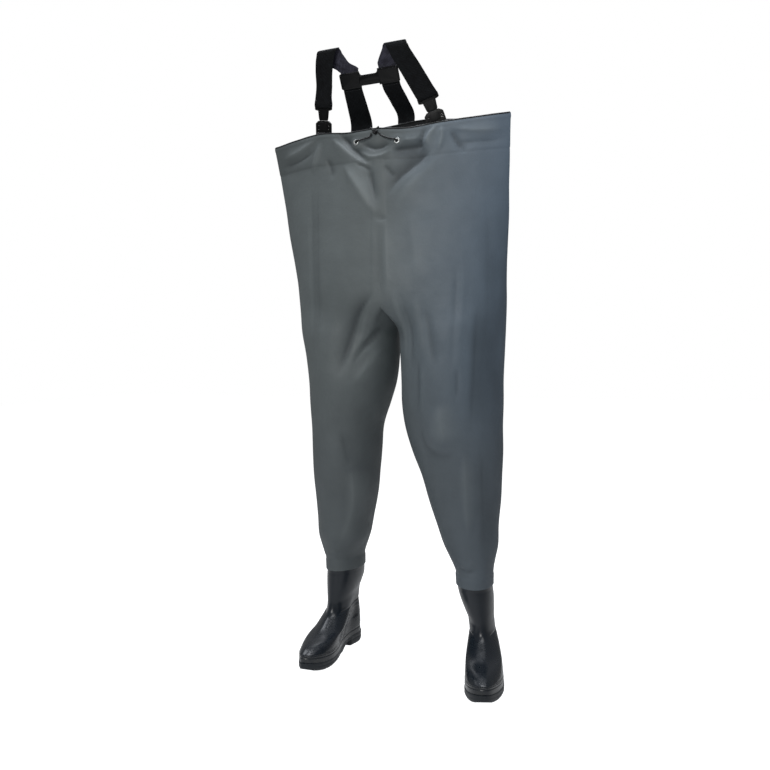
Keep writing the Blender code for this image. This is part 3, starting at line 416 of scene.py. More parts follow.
@dataclass(frozen=True)
class CoatedCloth(Finish):
    """PVC-coated nylon: a satin grey skin with a faint cloth grain and cloudy handling marks.

    Its real threads lie about 0.4 mm apart; the grain is drawn at 2.4 mm so that it shows.
    """

    green: str = "#5B6264"
    # painted shade: bluish tint of the cool fill light on the +X side, which turns away from the key light
    side_shade_blue: str = "#596878"
    # painted shade: the legs darken downwards, as the light from above falls off
    low: str = "#4C5256"
    worn: str = "#868E90"
    # painted shade that darkens the creases' troughs
    trough_shade: str = "#23292E"
    blotches = ((90.0, 4.0), (35.0, 3.0), (2.4, 2.0), (42.0, 3.0))

    def draw(self, tree: Tree, place: Socket, noises: Sequence[Node]) -> Inputs:
        """Draws cloudy tints, painted shade (bluish towards +X, darker down the legs, on the hem and in the
        troughs), pale crests and a fine grain.

        Args:
            tree: The material's tree.
            place: Where the pattern lies.
            noises: Its blotches.

        Returns:
            What feeds the shader.
        """
        clouds, marks, threads, dents = noises
        axes = add_node(tree, "ShaderNodeSeparateXYZ", None, {"Vector": place}).outputs
        # Painted shade: the colour turns bluish across x towards +X, as cool fill light on the side turned
        # away from the key light.
        across = add_node(tree, "ShaderNodeMapRange", None, {
            "Value": axes["X"], "From Min": 0.02, "From Max": 0.36})
        side_shade_tint = add_node(tree, "ShaderNodeMix", COLOURS, {
            "Factor": across, FROM: linear(self.green), TO: linear(self.side_shade_blue)})
        # Painted shade: the cloth darkens down the legs, where the light from above falls off.
        height = add_node(tree, "ShaderNodeMapRange", EASED, {
            "Value": axes["Z"], "From Min": 0.78, "From Max": 0.46, "To Max": 0.60})
        legs = add_node(tree, "ShaderNodeMix", COLOURS, {"Factor": height, FROM: side_shade_tint, TO: linear(self.low)})
        cloudy = add_node(tree, "ShaderNodeMapRange", None, {
            "Value": clouds, "From Min": 0.3, "From Max": 0.7, "To Min": 0.93, "To Max": 1.07})
        # Painted shade on the collar hem: its double cloth is darker towards -X, where it sags away from the
        # light, and a touch lighter at +X.
        hem_shade_across = add_node(tree, "ShaderNodeMapRange", None, {
            "Value": axes["X"], "From Min": -0.30, "From Max": 0.19, "To Min": 0.72, "To Max": 1.02})
        hem = add_node(tree, "ShaderNodeMapRange", EASED, {
            "Value": axes["Z"], "From Min": 1.252, "From Max": 1.268, "To Min": 1.0, "To Max": hem_shade_across})
        shade = add_node(tree, "ShaderNodeMath", TIMES, {0: cloudy, 1: hem})
        shaded = add_node(tree, "ShaderNodeVectorMath", {"operation": "SCALE"}, {0: legs, "Scale": shade})
        fold = add_node(tree, "ShaderNodeAttribute", {"attribute_name": "fold"}).outputs["Fac"]
        crest = add_node(tree, "ShaderNodeMapRange", None, {
            "Value": fold, "From Min": 0.0010, "From Max": 0.0060, "To Max": 0.28})
        rubbed = add_node(tree, "ShaderNodeMix", COLOURS, {
            "Factor": crest, FROM: shaded, TO: linear(self.worn)})
        # Painted shade: the creases' troughs are darkened, as occlusion would shade them.
        trough = add_node(tree, "ShaderNodeMapRange", None, {
            "Value": fold, "From Min": -0.0008, "From Max": -0.0070, "To Max": 0.60})
        colour = add_node(tree, "ShaderNodeMix", COLOURS, {
            "Factor": trough, FROM: rubbed, TO: linear(self.trough_shade)})
        gloss = add_node(tree, "ShaderNodeMapRange", None, {
            "Value": marks, "From Min": 0.3, "From Max": 0.7,
            "To Min": self.roughness - 0.06, "To Max": self.roughness + 0.08})
        grain = add_node(tree, "ShaderNodeBump", None, {
            "Strength": 0.25, "Distance": 0.0004, "Height": threads})
        soft = add_node(tree, "ShaderNodeBump", None, {
            "Strength": 0.35, "Distance": 0.004, "Height": dents, "Normal": grain})
        return {"Base Color": colour, "Roughness": gloss, "Normal": soft, "Specular IOR Level": 0.32}


@dataclass(frozen=True)
class MouldedPvc(Finish):
    """Injection-moulded PVC: near black, glossier on the foot, with dust that dulls it near the floor."""

    dust: str = "#4A4A48"
    foot: str = ""          # the foot's own colour, where it differs from the shaft's
    dulling: float = 0.0    # how much rougher the shaft is than the foot
    coat: float = 0.35
    dust_height: float = 0.075
    blotches = ((22.0, 5.0), (15.0, 4.0), (9.0, 3.0))

    def draw(self, tree: Tree, place: Socket, noises: Sequence[Node]) -> Inputs:
        """Draws dust, scuffs and the mould's slight unevenness.

        Args:
            tree: The material's tree.
            place: Where the pattern lies.
            noises: Its blotches.

        Returns:
            What feeds the shader.
        """
        dusty, scuffs, uneven = noises
        level = add_node(tree, "ShaderNodeSeparateXYZ", None, {"Vector": place}).outputs["Z"]
        low = add_node(tree, "ShaderNodeMapRange", EASED, {
            "Value": level, "From Min": self.dust_height, "From Max": 0.0, "To Max": 0.55})
        patches = add_node(tree, "ShaderNodeMapRange", None, {
            "Value": dusty, "From Min": 0.42, "From Max": 0.72})
        amount = add_node(tree, "ShaderNodeMath", TIMES, {0: low, 1: patches})
        shaft = add_node(tree, "ShaderNodeMapRange", EASED, {
            "Value": level, "From Min": 0.095, "From Max": 0.135})
        base = add_node(tree, "ShaderNodeMix", COLOURS, {
            "Factor": shaft, FROM: linear(self.foot or self.colour), TO: linear(self.colour)})
        colour = add_node(tree, "ShaderNodeMix", COLOURS, {
            "Factor": amount, FROM: base, TO: linear(self.dust)})
        gloss = add_node(tree, "ShaderNodeMapRange", None, {
            "Value": scuffs, "From Min": 0.3, "From Max": 0.7,
            "To Min": self.roughness - 0.05, "To Max": self.roughness + 0.05})
        dull = add_node(tree, "ShaderNodeMath", TIMES_PLUS, {0: shaft, 1: self.dulling, 2: gloss})
        skin = add_node(tree, "ShaderNodeBump", None, {
            "Strength": 0.05, "Distance": 0.0012, "Height": uneven})
        return {"Base Color": colour, "Roughness": dull, "Normal": skin, "Specular IOR Level": 0.35,
                "Coat Weight": self.coat, "Coat Roughness": 0.22}


@dataclass(frozen=True)
class Webbing(Finish):
    """Woven polypropylene webbing: matte black with cross ribs, on the strap's own UV in metres."""

    lit: str = "#15181B"
    rib_mm: float = 3.0     # real ribs are about 1.2 mm; coarser so that they show
    twill_mm: float = 4.5
    uv = "webbing"
    blotches = ((14.0, 4.0),)

    def draw(self, tree: Tree, place: Socket, noises: Sequence[Node]) -> Inputs:
        """Draws ribs across the strap, a twill between them and fuzz.

        Args:
            tree: The material's tree.
            place: Where the pattern lies.
            noises: Its blotches.

        Returns:
            What feeds the shader.
        """
        ribs = add_node(tree, "ShaderNodeTexWave", {"wave_type": "BANDS", "bands_direction": "Y"}, {
            "Vector": place, "Scale": WAVE / self.rib_mm}).outputs["Fac"]
        twill = add_node(tree, "ShaderNodeTexWave", DIAGONAL, {
            "Vector": place, "Scale": WAVE / self.twill_mm}).outputs["Fac"]
        weave = add_node(tree, "ShaderNodeMath", TIMES_PLUS, {0: twill, 1: 0.5, 2: ribs})
        fuzz = add_node(tree, "ShaderNodeMapRange", None, {
            "Value": noises[0], "From Min": 0.3, "From Max": 0.75})
        lift = add_node(tree, "ShaderNodeMath", TIMES, {0: weave, 1: fuzz})
        colour = add_node(tree, "ShaderNodeMix", COLOURS, {
            "Factor": lift, FROM: linear(self.colour), TO: linear(self.lit)})
        relief = add_node(tree, "ShaderNodeBump", None, {
            "Strength": 0.5, "Distance": 0.0006, "Height": weave})
        return {"Base Color": colour, "Normal": relief, "Specular IOR Level": 0.15}


@dataclass(frozen=True)
class Acetal(Finish):
    """Moulded acetal of buckles and yoke: fine satin spark texture, paler where it is rubbed.

    The real spark texture is about 0.1 mm fine; it is drawn at 1.2 mm.
    """

    rubbed: str = "#17191B"
    coat: float = 0.0
    blotches = ((8.0, 4.0), (1.2, 2.0))

    def draw(self, tree: Tree, place: Socket, noises: Sequence[Node]) -> Inputs:
        """Draws rubbed patches and the mould's spark texture.

        Args:
            tree: The material's tree.
            place: Where the pattern lies.
            noises: Its blotches.

        Returns:
            What feeds the shader.
        """
        patches, sparks = noises
        rub = add_node(tree, "ShaderNodeMapRange", None, {
            "Value": patches, "From Min": 0.5, "From Max": 0.8, "To Max": 0.35})
        colour = add_node(tree, "ShaderNodeMix", COLOURS, {
            "Factor": rub, FROM: linear(self.colour), TO: linear(self.rubbed)})
        grain = add_node(tree, "ShaderNodeBump", None, {
            "Strength": 0.2, "Distance": 0.0002, "Height": sparks})
        return {"Base Color": colour, "Normal": grain, "Specular IOR Level": 0.15, "Coat Weight": self.coat,
                "Coat Roughness": 0.12}


@dataclass(frozen=True)
class PlatedBrass(Finish):
    """Nickel-plated brass: bright, with soft streaks from handling."""

    blotches = ((3.0, 3.0),)

    def draw(self, tree: Tree, place: Socket, noises: Sequence[Node]) -> Inputs:
        """Draws uneven polish on the metal.

        Args:
            tree: The material's tree.
            place: Where the pattern lies.
            noises: Its blotches.

        Returns:
            What feeds the shader.
        """
        polish = add_node(tree, "ShaderNodeMapRange", None, {
            "Value": noises[0], "From Min": 0.3, "From Max": 0.7,
            "To Min": self.roughness - 0.06, "To Max": self.roughness + 0.1})
        return {"Roughness": polish, "Metallic": 1.0}


@dataclass(frozen=True)
class Braid(Finish):
    """Braided polyester cord: two strands of diamonds that catch the light, on the cord's own UV."""

    lit: str = "#17191C"
    pitch_mm: float = 3.2
    uv = "braid"

    def draw(self, tree: Tree, place: Socket, noises: Sequence[Node]) -> Inputs:
        """Draws the braid; its UV holds metres round the cord and along it.

        Args:
            tree: The material's tree.
            place: Where the pattern lies.
            noises: Its blotches.

        Returns:
            What feeds the shader.
        """
        plait = add_node(tree, "ShaderNodeTexWave", DIAGONAL, {
            "Vector": place, "Scale": WAVE / self.pitch_mm}).outputs["Fac"]
        colour = add_node(tree, "ShaderNodeMix", COLOURS, {
            "Factor": plait, FROM: linear(self.colour), TO: linear(self.lit)})
        relief = add_node(tree, "ShaderNodeBump", None, {
            "Strength": 0.6, "Distance": 0.0005, "Height": plait})
        return {"Base Color": colour, "Normal": relief}


@dataclass(frozen=True)
class Backdrop(Finish):
    """Painted studio sweep: matte white, lit from inside so that it reads as white to the eye."""

    glow: float = 0.86
    blotches = ((180.0, 3.0),)

    def draw(self, tree: Tree, place: Socket, noises: Sequence[Node]) -> Inputs:
        """Draws a faint mottle in the paint.

        Args:
            tree: The material's tree.
            place: Where the pattern lies.
            noises: Its blotches.

        Returns:
            What feeds the shader.
        """
        paint = add_node(tree, "ShaderNodeMapRange", None, {
            "Value": noises[0], "To Min": self.roughness - 0.05, "To Max": self.roughness + 0.05})
        seen = add_node(tree, "ShaderNodeLightPath").outputs["Is Camera Ray"]
        glow = add_node(tree, "ShaderNodeMath", TIMES, {0: seen, 1: self.glow})
        return {"Roughness": paint, "Emission Color": linear("#FFFFFF"), "Emission Strength": glow}


CLOTH = CoatedCloth("pvc_coated_nylon", "coated_cloth", "#5A6163", 0.55)
LINING = Finish("uncoated_nylon_back", "coated_cloth", "#16191B", 0.80)
BINDING = MouldedPvc("pvc_edge_binding", "coated_cloth", "#15181A", 0.50, coat=0.0)
BOOT_PVC = MouldedPvc("moulded_boot_pvc", "moulded_pvc", "#121A23", 0.27, foot="#0D151D", dulling=0.10)
SOLE_PVC = MouldedPvc("moulded_sole_pvc", "sole_pvc", "#161C22", 0.46, dust="#2C2F33", coat=0.05,
                      dust_height=0.05)
STRAP_WEB = Webbing("woven_webbing", "webbing", "#08090B", 0.85)
STRAP_INNER = Webbing("brushed_webbing", "webbing", "#26262F", 0.65, lit="#454552")
BUCKLE_ACETAL = Acetal("moulded_acetal", "buckle_plastic", "#0B0C0D", 0.40)
YOKE_ACETAL = Acetal("gloss_acetal", "yoke_plastic", "#050608", 0.20, rubbed="#0B0C0F", coat=0.30)
EYELET_BRASS = PlatedBrass("nickel_plated_brass", "eyelet_metal", "#A9ACAC", 0.32)
CORD_BRAID = Braid("braided_cord", "drawcord", "#07080A", 0.75)
THREAD = Finish("sewing_thread", "webbing", "#16181A", 0.75)
FLOOR_PAINT = Backdrop("floor_paint", "", "#D9D9D8", 0.85)


@dataclass
class Bench:
    """Puts finished pieces into the scene, under the root body, and hides the CAD nodes that they stand for.
    """

    pieces: list[bpy.types.Object] = field(default_factory=list)

    def place(self, name: str, mesh: Mesh, finish: Finish, stands_for: Sequence[str] = (),
              sharp: float = 38.0, inside: Finish | None = None) -> bpy.types.Object:
        """Adds a piece that rides on the garment.

        Args:
            name: The piece's name.
            mesh: Its mesh, in the frame.
            finish: What it is made of.
            stands_for: CAD nodes that it replaces.
            sharp: Edges over this angle in degrees stay sharp.
            inside: Finish of faces in the second material slot.

        Returns:
            The piece.
        """
        slots = np.zeros(len(mesh.polygons), np.int32)
        mesh.polygons.foreach_get("material_index", slots)
        mesh.materials.clear()
        for coat in (finish, inside) if inside else (finish,):
            mesh.materials.append(coat.material())
        mesh.polygons.foreach_set("material_index", slots if inside else np.zeros_like(slots))
        mesh.shade_smooth()
        mesh.set_sharp_from_angle(angle=math.radians(sharp))
        mesh.name = name
        item = shown(name, mesh)
        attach(item, "root")
        if stands_for:
            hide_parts(*stands_for)
        self.pieces.append(item)
        LOG.info("%s: %d faces", name, len(mesh.polygons))
        return item


class PathTree(Enum):
    """Geometry Nodes groups that follow a path."""

    BEAD = "bead_along_path"
    STITCHES = "stitches_along_path"


@dataclass
class PathWork:
    """Beads and rows of stitches along paths, made by Geometry Nodes."""

    trees: dict[PathTree, Tree] = field(default_factory=dict)

    def tree(self, kind: PathTree) -> Tree:
        """The node group of a kind, made once.

        Args:
            kind: Which group.

        Returns:
            The group.
        """
        if kind not in self.trees:
            group = bpy.data.node_groups.new(kind.value, "GeometryNodeTree")
            group.interface.new_socket("Geometry", in_out="INPUT", socket_type="NodeSocketGeometry")
            for name in ("Pitch", "Length", "Thickness"):
                group.interface.new_socket(name, in_out="INPUT", socket_type="NodeSocketFloat")
            group.interface.new_socket("Material", in_out="INPUT", socket_type="NodeSocketMaterial")
            group.interface.new_socket("Geometry", in_out="OUTPUT", socket_type="NodeSocketGeometry")
            given = add_node(group, "NodeGroupInput").outputs
            path = add_node(group, "GeometryNodeMeshToCurve", None, {"Mesh": given["Geometry"]})
            evened = add_node(group, "GeometryNodeResampleCurve", {"mode": "LENGTH"},
                              {"Curve": path, "Length": given["Pitch"]})
            shape = (self.bead if kind is PathTree.BEAD else self.stitches)(group, given, evened)
            real = add_node(group, "GeometryNodeRealizeInstances", None, {"Geometry": shape})
            dressed = add_node(group, "GeometryNodeSetMaterial", None,
                               {"Geometry": real, "Material": given["Material"]})
            add_node(group, "NodeGroupOutput", None, {"Geometry": dressed})
            self.trees[kind] = group
        return self.trees[kind]

    @staticmethod
    def bead(group: Tree, given: bpy.types.NodeOutputs, path: Node) -> Node:
        """Round bead along the path.

        Args:
            group: The node group.
            given: The group's inputs.
            path: Gives an evenly spaced curve.

        Returns:
            The node that gives the bead.
        """
        half = add_node(group, "ShaderNodeMath", TIMES, {0: given["Thickness"], 1: 0.5})
        ring = add_node(group, "GeometryNodeCurvePrimitiveCircle", None, {"Resolution": 8, "Radius": half})
        return add_node(group, "GeometryNodeCurveToMesh", None,
                        {"Curve": path, "Profile Curve": ring, "Fill Caps": True})

    @staticmethod
    def stitches(group: Tree, given: bpy.types.NodeOutputs, path: Node) -> Node:
        """Row of stitches, each a small rounded grain along the path.

        Args:
            group: The node group.
            given: The group's inputs.
            path: Gives an evenly spaced curve.

        Returns:
            The node that gives the stitches.
        """
        grain = add_node(group, "GeometryNodeMeshUVSphere", None, {"Segments": 6, "Rings": 4, "Radius": 0.5})
        size = add_node(group, "ShaderNodeCombineXYZ", None,
                        {"X": given["Length"], "Y": given["Thickness"], "Z": given["Thickness"]})
        along = add_node(group, "GeometryNodeInputTangent")
        turn = add_node(group, "FunctionNodeAlignRotationToVector", {"axis": "X"}, {"Vector": along})
        return add_node(group, "GeometryNodeInstanceOnPoints", None,
                        {"Points": path, "Instance": grain, "Rotation": turn, "Scale": size})

    def run(self, name: str, kind: PathTree, paths: Sequence[Array], finish: Finish, pitch: float,
            length: float, thickness: float) -> Mesh:
        """Runs a group on paths and returns a plain mesh.

        Args:
            name: The mesh's name.
            kind: Bead or stitches.
            paths: Lines of points in the frame.
            finish: What the work is made of.
            pitch: Distance between points on the path.
            length: Length of a stitch.
            thickness: Thickness of bead or thread.

        Returns:
            The mesh.
        """
        lines = bpy.data.meshes.new(name)
        points: list[Sequence[float]] = []
        edges: list[tuple[int, int]] = []
        for path in paths:
            edges += [(len(points) + i, len(points) + i + 1) for i in range(len(path) - 1)]
            points += [tuple(point) for point in path]
        lines.from_pydata(points, edges, [])
        carrier = bpy.data.objects.new(name, lines)
        group = self.tree(kind)
        work = carrier.modifiers.new(kind.value, "NODES")
        work.node_group = group
        values = {"Pitch": pitch, "Length": length, "Thickness": thickness, "Material": finish.material()}
        for socket in group.interface.items_tree:
            if socket.in_out == "INPUT" and socket.name in values:
                work[socket.identifier] = values[socket.name]
        return applied(carrier)


# Boots

FOOT = columns(("share", "inner", "outer"), (
    (0.00, 0.72, 0.73), (0.12, 0.75, 0.77), (0.30, 0.60, 0.78), (0.46, 0.66, 0.90),
    (0.62, 0.90, 1.00), (0.72, 0.98, 0.96), (0.85, 0.97, 0.79), (1.00, 0.94, 0.52),
))
FEATHER = columns(("share", "height"), (
    (0.00, 0.0310), (0.25, 0.0285), (0.45, 0.0235), (0.65, 0.0195), (0.85, 0.0215), (1.00, 0.0270),
))
SLICES = columns(("rise_front", "rise_back", "follow", "front", "back", "half_width",
                  "foot_share", "toe_round", "heel_round", "lean", "step"), (
    (0.0000, 0.0000, 1.0, 0.2966, 0.0050, 0.0436, 1.00, 0.27, 0.13, 0.00, 0.0022),
    (0.0110, 0.0110, 1.0, 0.2970, 0.0045, 0.0438, 1.00, 0.27, 0.13, 0.00, 0.0022),
    (0.0125, 0.0125, 1.0, 0.2970, 0.0045, 0.0438, 1.00, 0.27, 0.13, 0.00, 0.0010),
    (0.0350, 0.0415, 0.6, 0.2890, 0.0020, 0.0438, 1.00, 0.27, 0.14, 0.00, 0.0010),
    (0.0540, 0.0640, 0.3, 0.2590, 0.0010, 0.0425, 1.00, 0.29, 0.16, 0.00, 0.0010),
    (0.0700, 0.0830, 0.0, 0.2090, 0.0015, 0.0405, 0.95, 0.34, 0.18, 0.00, 0.0010),
    (0.0820, 0.0960, 0.0, 0.1800, 0.0015, 0.0380, 0.85, 0.42, 0.21, 0.00, 0.0010),
    (0.0940, 0.1090, 0.0, 0.1600, -0.0005, 0.0355, 0.70, 0.50, 0.26, 0.02, 0.0010),
    (0.1080, 0.1270, 0.0, 0.1455, -0.0065, 0.0338, 0.50, 0.55, 0.34, 0.06, 0.0000),
    (0.1250, 0.1490, 0.0, 0.1385, -0.0140, 0.0332, 0.25, 0.53, 0.44, 0.15, 0.0000),
    (0.1270, 0.1520, 0.0, 0.1380, -0.0145, 0.0332, 0.22, 0.53, 0.44, 0.16, 0.0000),
    (0.1500, 0.1700, 0.0, 0.1355, -0.0195, 0.0372, 0.08, 0.51, 0.49, 0.40, 0.0000),
    (0.1820, 0.1900, 0.0, 0.1330, -0.0205, 0.0420, 0.00, 0.50, 0.50, 0.72, 0.0000),
    (0.2160, 0.2160, 0.0, 0.1310, -0.0145, 0.0437, 0.00, 0.50, 0.50, 1.00, 0.0000),
    (0.2460, 0.2460, 0.0, 0.1310, -0.0135, 0.0446, 0.00, 0.50, 0.50, 1.00, 0.0000),
))
TREAD = columns(("share", "height"), (
    (0.000, 0.0040), (0.004, 0.0030), (0.025, 0.0000), (0.250, 0.0000), (0.268, 0.0165),
    (0.320, 0.0150), (0.380, 0.0080), (0.430, 0.0000), (0.780, 0.0000), (0.850, 0.0012),
    (0.910, 0.0040), (0.955, 0.0076), (0.985, 0.0118), (0.996, 0.0145), (1.000, 0.0170),
))
SOLE_SIDE = columns(("depth", "inset"), (
    (0.00, 0.0012), (0.015, 0.0006), (0.04, 0.0002), (0.08, 0.0000), (0.30, 0.0000), (0.335, 0.0003),
    (0.36, 0.0008), (0.42, 0.0008), (0.45, 0.0004), (0.49, 0.0002), (0.62, 0.0002), (0.70, 0.0008),
    (0.78, 0.0016), (0.88, 0.0028), (0.96, 0.0044), (1.00, 0.0058),
))
# Lines round the upper: height, level, half width, and the share of the length from the heel where
# each one starts and where it is full. A groove, a line on the shaft, the flex and two toe ribs.
UPPER_LINES = (
    (-0.0015, 0.1120, 0.0022, 0.96, 0.80),
    (-0.0006, 0.2085, 0.0016, -1.00, 0.00),
    (-0.0008, 0.1120, 0.0100, 0.45, 0.85),
    (0.0005, 0.0940, 0.0090, 0.45, 0.85),
    (0.0010, 0.0175, 0.0012, 0.55, 0.72),
    (0.0010, 0.0230, 0.0012, 0.55, 0.72),
)


def end_round(distance: Array, radius: float, fullness: float = 2.0) -> Array:
    """Share of an outline's width near its end: 0 at the tip, 1 past the radius, blunter when fuller."""
    inside = np.clip(1.0 - distance / radius, 0.0, 1.0)
    return (1.0 - inside ** fullness) ** (1.0 / fullness)


@dataclass
class Boot:
    """One moulded boot: hollow upper with its overlays and ribs, and the sole under it."""

    side: Side
    heel: Pair
    toe_turn: float
    shaft_lean: float
    length: float = 0.302
    half_width: float = 0.0470
    heel_round: float = 0.125
    toe_round: float = 0.27
    fullness: float = 2.2
    wall: float = 0.0025
    around: int = 112
    stations: int = 110
    groove_width: float = 0.0055
    groove_depth: float = 0.0045
    groove_reach: float = 0.130
    grooves: tuple[float, ...] = (0.07, 0.13, 0.19, 0.46, 0.52, 0.58, 0.64, 0.70, 0.76, 0.82)

    # From, to and step of the upper's rows
    rows: tuple[Triple, ...] = (
        (0.0, 0.030, 0.0009), (0.030, 0.130, 0.0014), (0.130, 0.2461, 0.0033),
    )
    # Ridge up the heel and the counter's panel, with the levels over which each one starts and ends
    spine: float = 0.0012
    spine_half_angle: float = 0.16
    spine_ends: tuple[Pair, ...] = ((0.012, 0.020), (0.135, 0.125))
    counter: float = 0.0011
    counter_edge: float = 0.0012
    counter_groove: Triple = (0.0009, -0.0022, 0.0016)  # depth, distance behind the edge, half width
    counter_front: float = 0.135
    counter_lean: float = 0.75
    counter_foot: float = 0.03
    counter_ends: tuple[Pair, ...] = ((0.014, 0.018), (0.105, 0.098))

    @property
    def levels(self) -> Array:
        """Mean rise of each slice over the feather line."""
        return (SLICES["rise_front"] + SLICES["rise_back"]) / 2.0

    @staticmethod
    def tread(share: float) -> float:
        """Height of the sole's underside."""
        return float(np.interp(share, TREAD["share"], TREAD["height"]))

    def to_garment(self, points: Array) -> Array:
        """Turns outward, forward, up on the boot into the tables' places.

        Args:
            points: Points on the boot.

        Returns:
            The same points on the garment.
        """
        own_x = self.side.sign * points[..., 0]
        own_y = -points[..., 1]
        cosine, sine = math.cos(self.toe_turn), math.sin(self.toe_turn)
        return np.stack((self.heel[0] + own_x * cosine - own_y * sine,
                         self.heel[1] + own_x * sine + own_y * cosine, points[..., 2]), axis=-1)

    @staticmethod
    def half_widths(share: Array, outward: Array, foot_share: float) -> Array:
        """Relative half width of the foot's inner or outer side, fading to 1 on the shaft."""
        foot = np.where(outward, through(FOOT["share"], FOOT["outer"], share),
                        through(FOOT["share"], FOOT["inner"], share))
        return 1.0 + (foot - 1.0) * foot_share

    def feather(self, forward: Array) -> Array:
        """Height of the line between upper and sole."""
        return through(FEATHER["share"], FEATHER["height"], forward / self.length)

    def ring(self, level: float, angles: Array) -> Array:
        """One slice of the upper, round from the heel by the outer side.

        Args:
            level: Mean rise of the slice.
            angles: Places round the slice.

        Returns:
            Points as outward, forward, up.
        """
        size = {name: float(through(self.levels, values, np.array([level]))[0])
                for name, values in SLICES.items()}
        size["step"] = float(np.interp(level, self.levels, SLICES["step"]))
        share = (1.0 - np.cos(angles)) / 2.0
        length = size["front"] - size["back"]
        outer = np.sin(angles) >= 0.0
        fullness = 2.0 + (self.fullness - 2.0) * size["foot_share"]
        width = (size["half_width"] * self.half_widths(share, outer, size["foot_share"])
                 * end_round(length * share, size["heel_round"] * length)
                 * end_round(length * (1.0 - share), size["toe_round"] * length, fullness))
        flat = np.column_stack((np.where(outer, width, -width) + size["lean"] * self.shaft_lean,
                                size["back"] + length * share))
        along = np.roll(flat, -1, axis=0) - np.roll(flat, 1, axis=0)
        flat = flat + unit(np.column_stack((along[:, 1], -along[:, 0]))) * size["step"]
        rise = (size["rise_back"] + (size["rise_front"] - size["rise_back"]) * share
                + size["follow"] * self.feather(flat[:, 1]))
        return np.column_stack((flat, rise))

    def relief(self, level: Array, angles: Array, points: Array) -> Array:
        """How far overlays, ribs and flex creases stand out of the plain upper.

        Args:
            level: Slice level of each row, as a column.
            angles: Place round the slice of each column, as a row.
            points: Plain points as outward, forward, up.

        Returns:
            Offset along the normal for each point.
        """
        share = (1.0 - np.cos(angles)) / 2.0
        lines = sum(height * bump(level, at, half) * ramp(share, start, full)
                    for height, at, half, start, full in UPPER_LINES)
        spine = self.spine * sum(bump(angles, middle, self.spine_half_angle) for middle in (0.0, math.tau))
        # The counter's panel ends on a line that leans back as it rises from the waist.
        forward, up = points[:, :, 1], points[:, :, 2]
        behind = self.counter_front - self.counter_lean * (up - self.counter_foot) - forward
        depth, beyond, half = self.counter_groove
        counter = self.counter * ramp(behind, -self.counter_edge, self.counter_edge)
        counter = counter - depth * bump(behind, beyond, half)
        for panel, ends in ((spine, self.spine_ends), (counter, self.counter_ends)):
            lines = lines + panel * ramp(level, *ends[0]) * ramp(level, *ends[1])
        return lines

    def build_upper(self) -> Mesh:
        """Models the hollow upper.

        Returns:
            Its mesh, in the frame.
        """
        angles = np.arange(self.around) * math.tau / self.around
        levels = np.concatenate([np.arange(*row) for row in self.rows])
        plain = np.array([self.ring(level, angles) for level in levels])
        wrapped = np.concatenate((plain[:, -1:], plain, plain[:, :1]), axis=1)
        normals = grid_normals(wrapped, 1.0)[:, 1:-1]
        centre = plain.mean(axis=1, keepdims=True)
        if float(np.mean(np.sum(normals * (plain - centre), axis=2))) < 0.0:
            normals = -normals
        shaped = plain + normals * self.relief(levels[:, None], angles[None, :], plain)[:, :, None]
        build = bmesh.new()
        loft(build, in_frame(self.to_garment(shaped)))
        return walled(closed_mesh("boot_" + self.side.value, build), self.wall)

    def section(self, share: float) -> Array:
        """Closed cross-section of the sole.

        Args:
            share: Share of the length from the heel.

        Returns:
            Points as outward, forward, up.
        """
        at = np.array([share])
        ends = float((end_round(at, self.heel_round)
                      * end_round(1.0 - at, self.toe_round, self.fullness))[0])
        forward = share * self.length
        top = float(self.feather(np.array([forward]))[0])
        drop = self.tread(share) - top
        points = []
        for outward, order in ((True, 1), (False, -1)):
            half = self.half_width * float(self.half_widths(at, np.array([outward]), 1.0)[0]) * ends
            for depth, inset in zip(SOLE_SIDE["depth"][::order], SOLE_SIDE["inset"][::order]):
                points.append((order * max(half - inset * ends, 0.0), forward, top + drop * depth))
        return np.array(points)

    def build_sole(self) -> Mesh:
        """Models the sole with heel block, breast, stepped sides and cut lugs.

        Returns:
            Its mesh, in the frame.
        """
        even = (1.0 - np.cos(np.linspace(0.0, math.pi, self.stations))) / 2.0
        shares = np.unique(np.concatenate((even, TREAD["share"])).round(5))
        build = bmesh.new()
        loft(build, in_frame(self.to_garment(np.array([self.section(share) for share in shares]))))
        sole = closed_mesh("sole_" + self.side.value, build)
        cutter = bmesh.new()
        turn = Matrix.Rotation(self.toe_turn, 4, "Z")
        home = Matrix.Translation(Vector((*self.heel, 0.0)) - FLOOR_CENTRE) @ turn
        size = Matrix.Diagonal((self.groove_reach, self.groove_width, 2.0 * self.groove_depth, 1.0))
        for share in self.grooves:
            place = Matrix.Translation((0.0, -share * self.length, self.tread(share)))
            bmesh.ops.create_cube(cutter, size=1.0, matrix=home @ place @ size)
        return without(sole, closed_mesh("tread_grooves", cutter))

    def dress(self, bench: Bench) -> None:
        """Builds the boot's pieces and gives them their finish.

        Args:
            bench: Where pieces are placed.
        """
        name = self.side.value
        bench.place("moulded_boot_" + name, self.build_upper(), BOOT_PVC, ["boot_upper_" + name])
        bench.place("moulded_sole_" + name, self.build_sole(), SOLE_PVC, ["outsole_" + name])


BOOTS = {
    Side.RIGHT: Boot(Side.RIGHT, (-0.170, 0.119), math.radians(3.0), -0.009),
    Side.LEFT: Boot(Side.LEFT, (0.218, 0.083), math.radians(21.0), -0.016),
}


# Bib and legs

